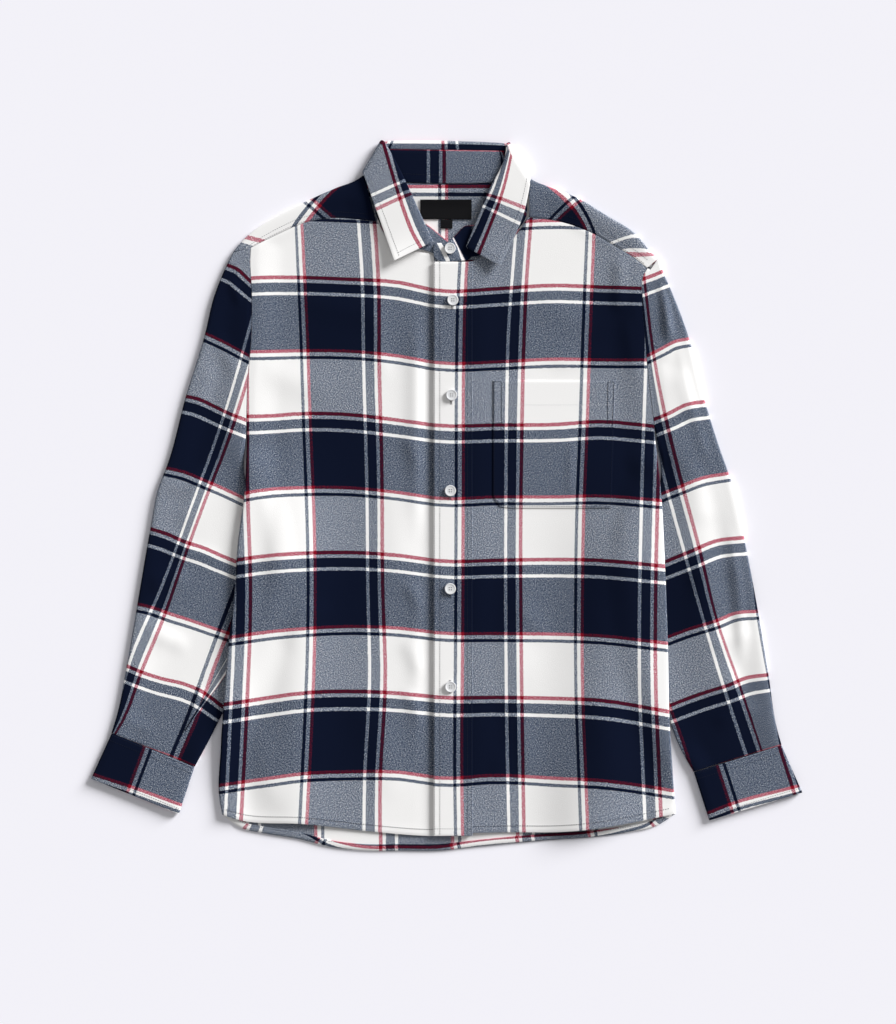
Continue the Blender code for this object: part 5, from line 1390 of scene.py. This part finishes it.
CUFF_SEAMS = (0.03, 0.14, 0.9)
HOLE_LENGTH = 15
HOLE_DROP = 3.2        # the buttons pull to the top of their holes, but for the last one
HOLE_ASIDE = 0.6
HOLE_LIP = 0.75


def cotton(name, dark, light):
    """Twisted thread, a little uneven in colour."""
    return two_tone(name, "TexNoise", {"Scale": 2500}, dark, light, roughness=0.8, specular=0.1)[0]


dark_thread = cotton("dark cotton thread", (0.004, 0.006, 0.014), (0.016, 0.020, 0.036))
pale_thread = cotton("pale cotton thread", (0.50, 0.50, 0.52), (0.75, 0.75, 0.77))


def stitch_row(points, pitch=STITCH_PITCH, length=STITCH_LENGTH, width=THREAD):
    """A row of stitches along points: one stitch, repeated and bent along the line."""
    bpy.ops.mesh.primitive_ico_sphere_add(subdivisions=1, radius=0.5 * MM)
    row = bpy.context.object
    stitch = np.array([v.co for v in row.data.vertices]) * (length, width, width * THREAD_FLAT)
    row.data.vertices.foreach_set("co", stitch.ravel())
    path = bpy.data.curves.new("seam", "CURVE")
    path.dimensions = "3D"
    path.twist_mode = "Z_UP"
    spline = path.splines.new("POLY")
    spline.points.add(len(points) - 1)
    spline.points.foreach_set("co", np.column_stack([points * MM, np.ones(len(points))]).ravel())
    guide = bpy.data.objects.new("seam", path)
    bpy.context.scene.collection.objects.link(guide)
    repeat = row.modifiers.new("stitches", "ARRAY")
    repeat.fit_type = "FIT_CURVE"
    repeat.curve = guide
    repeat.use_relative_offset = False
    repeat.use_constant_offset = True
    repeat.constant_offset_displace = (pitch * MM, 0, 0)
    bend = row.modifiers.new("seam", "CURVE")
    bend.object = guide
    for modifier in ("stitches", "seam"):
        bpy.ops.object.modifier_apply(modifier=modifier)
    bpy.data.objects.remove(guide)
    return row


def stitching(name, lines, colour=dark_thread, **thread):
    """All rows of one seam, joined."""
    seam = join([stitch_row(points, **thread) for points in lines], name)
    bpy.ops.object.shade_smooth()
    seam.data.materials.clear()
    seam.data.materials.append(colour)
    part_of_shirt(seam, None)
    bpy.ops.object.select_all(action="DESELECT")


def lay(xs, ys, height):
    """Points in plan, raised to the height of what they lie on."""
    xs, ys = np.broadcast_arrays(np.asarray(xs, float), np.asarray(ys, float))
    return np.stack([xs, ys, height(xs, ys)], axis=-1)


def bent(corners, height, spacing=4.0):
    """A row of thread that runs straight from corner to corner."""
    corners = np.array(corners, float)
    points = along(corners, np.linspace(0, 1, max(int(run_of(corners)[-1] / spacing), 2)))
    return lay(*points.T, height)


def inset_row(strips, inset, wall):
    """A row of thread this far along each strip of points, on top of its wall."""
    row = [[np.interp(inset, run_of(strip), axis) for axis in strip.T] for strip in strips]
    return np.array(row) + (0, 0, wall / 2 + THREAD_GAP)


def over_front(side, extra):
    """How high something lies that is this much above a front's upper face."""
    return lambda x, y: front_z(x, y, side) + CLOTH / 2 + extra


on_placket = over_front("left", GAP + BAND + THREAD_SEAT / 2)
on_pocket_top = over_front("left", POCKET_SEAT + POCKET_WALL + THREAD_SEAT)

band_y = np.linspace(PLACKET_Y[0] - 1, PLACKET_Y[1] + 1, 160)
band_rows = [lay(x, band_y, on_placket) for x in BAND_ROWS_X]
band_foot_x = np.linspace(PLACKET_X[0] + 2, PLACKET_X[1] - 2, 12)
band_rows.append(lay(band_foot_x, PLACKET_Y[1] + BAND_FOOT, on_placket))
stitching("placket_stitching", band_rows)

# the pocket is sewn on round three sides; each top corner gets a narrow stitched bar
left_x, right_x = POCKET_SIDE_X + 1, POCKET_TOP[1][0] - POCKET_INSET
bar_top, bar_foot = POCKET_TOP[0][1] - 1.6, POCKET_TOP[0][1] - BAR_LENGTH
stitching("pocket_stitching", [
    bent([(left_x, bar_top), (left_x, POCKET_CHAMFER_Y + 0.5),
          (POCKET_FOOT[0][0] + 0.5, POCKET_FOOT[0][1] + POCKET_INSET),
          (POCKET_FOOT[1][0] - POCKET_INSET, POCKET_FOOT[1][1] + POCKET_INSET), (right_x, bar_top)],
         on_pocket_top)])
stitching("pocket_bar_stitching", [
    bent([(foot_x, bar_foot), (top_x, bar_top), (next_top_x, bar_top), (next_foot_x, bar_foot)],
         on_pocket_top, BAR_SPACING)
    for foot_x, top_x, next_top_x, next_foot_x in (
        (left_x, left_x, left_x + 8.6, left_x + 8.6), (right_x - 2, right_x, right_x - 7.2, right_x - 7.6))],
    length=2.6, width=WORKED_WIDTH)
stitching("pocket_hem_stitching",
          [bent([(POCKET_SIDE_X + 2, POCKET_HEM_Y), (POCKET_TOP[1][0] - 3, POCKET_HEM_Y)], on_pocket_top)],
          colour=pale_thread)

hem_rows = []
for side, *ends in (("right", HEM_ENDS[0], PLACKET_X[0] - 1), ("left", PLACKET_X[1] + 1, HEM_ENDS[1] - 1)):
    xs = np.linspace(*ends, 90)
    hem_rows.append(lay(xs, y_at(front_hem_line[side], xs) + HEM_WIDTH,
                        over_front(side, THREAD_SEAT + HEM_STEP)))
stitching("front_hem_stitching", hem_rows, width=0.75)
hem_row = np.stack([hem_x, hem_y]) + inward.T * (HEM_WIDTH - 1.2)
stitching("back_hem_stitching", [lay(*hem_row, lambda x, y: back_z(x, y) + BACK_HEM_LAYER)])

stitching("yoke_stitching", [inset_row(points[2:-2, ::-1], inset, CLOTH)
                             for points in (yoke_right, yoke_left) for inset in YOKE_SEAMS])

fronts = [k for k, s in enumerate(collar) if s["side"]]
half = len(FRONT_STATIONS)
leaf_row = inset_row(leaf_points[fronts, ::-1], LEAF_INSET, DOUBLE)
leaf_rows = [leaf_row[1:half], leaf_row[half:-1]]
for first, second in ((0, 2), (-1, -3)):
    end, next_in = leaf_points[[first, second], len(STRIP_ROWS) + len(ROLL_ANGLES):]
    leaf_end = end + (next_in - end) * 0.9
    leaf_rows.append(leaf_end[1:-2] + (0, 0, DOUBLE / 2 + THREAD_GAP))
stitching("collar_stitching", leaf_rows)
stitching("stand_stitching", [stand_points[STAND_SEAM, 2] + (0, 0, DOUBLE / 2 + THREAD_GAP)])

cuff_rows = []
for side in SIDES:
    top_side = cuff(side)[0][:, CUFF_TOP]
    for t in CUFF_SEAMS:
        seam = top_side[0] + (top_side[-1] - top_side[0]) * t
        cuff_rows.append(seam + (0, 0, DOUBLE / 2 + THREAD_GAP))
stitching("cuff_stitching", cuff_rows)

# a buttonhole is worked in close thread, one row along each of its lips
hole_rows = []
for name, x, y in BUTTONS[1:]:
    centre_y = y - (0 if name == "button_5" else HOLE_DROP)
    ys = np.linspace(centre_y + HOLE_LENGTH / 2, centre_y - HOLE_LENGTH / 2, 20)
    for lip in (-HOLE_LIP, HOLE_LIP):
        hole_rows.append(lay(x - HOLE_ASIDE + lip, ys, on_placket))
stitching("buttonhole_stitching", hole_rows, pitch=0.55, length=0.5, width=WORKED_WIDTH)

# ---------------------------------------------------------------- floor, light and camera
# A plain pale floor, one large soft light from the upper right and an even sky, seen from
# straight above.
FLOOR_COLOUR = (0.94, 0.93, 0.99)
FLOOR_SIZE = 8
FLOOR_DROP = 0.2       # the floor lies this far below the shirt
CAMERA_HEIGHT = 2.756
CAMERA_X, CAMERA_Y = 1.5, -18.8
LENS = 85
SENSOR_WIDTH = 36
SKY_STRENGTH = 0.33
LAMP_STRENGTH = 5.85
LAMP_SOFTNESS = 24
LAMP_TURN = (70.5, 0, 128)

bpy.ops.mesh.primitive_plane_add(size=FLOOR_SIZE, location=(0, 0, -FLOOR_DROP * MM))
floor = bpy.context.object
floor.name = "floor"
pale, shader, _ = new_material("pale floor", roughness=0.95, specular=0)
shader.inputs["Base Color"].default_value = (*FLOOR_COLOUR, 1)
floor.data.materials.append(pale)

world = bpy.data.worlds.new("studio")
world.use_nodes = True
sky = world.node_tree.nodes["Background"]
sky.inputs["Color"].default_value = (1, 1, 1, 1)
sky.inputs["Strength"].default_value = SKY_STRENGTH
bpy.context.scene.world = world
bpy.ops.object.light_add(type="SUN", location=(1, 1, 1))
lamp = bpy.context.object
lamp.data.energy = LAMP_STRENGTH
lamp.data.angle = math.radians(LAMP_SOFTNESS)
lamp.rotation_euler = np.radians(LAMP_TURN)

bpy.ops.object.camera_add(location=(CAMERA_X * MM, CAMERA_Y * MM, CAMERA_HEIGHT), rotation=(0, 0, 0))
camera = bpy.context.object
camera.data.lens = LENS
camera.data.sensor_width = SENSOR_WIDTH
bpy.context.scene.camera = camera
bpy.context.scene.view_settings.view_transform = "Standard"
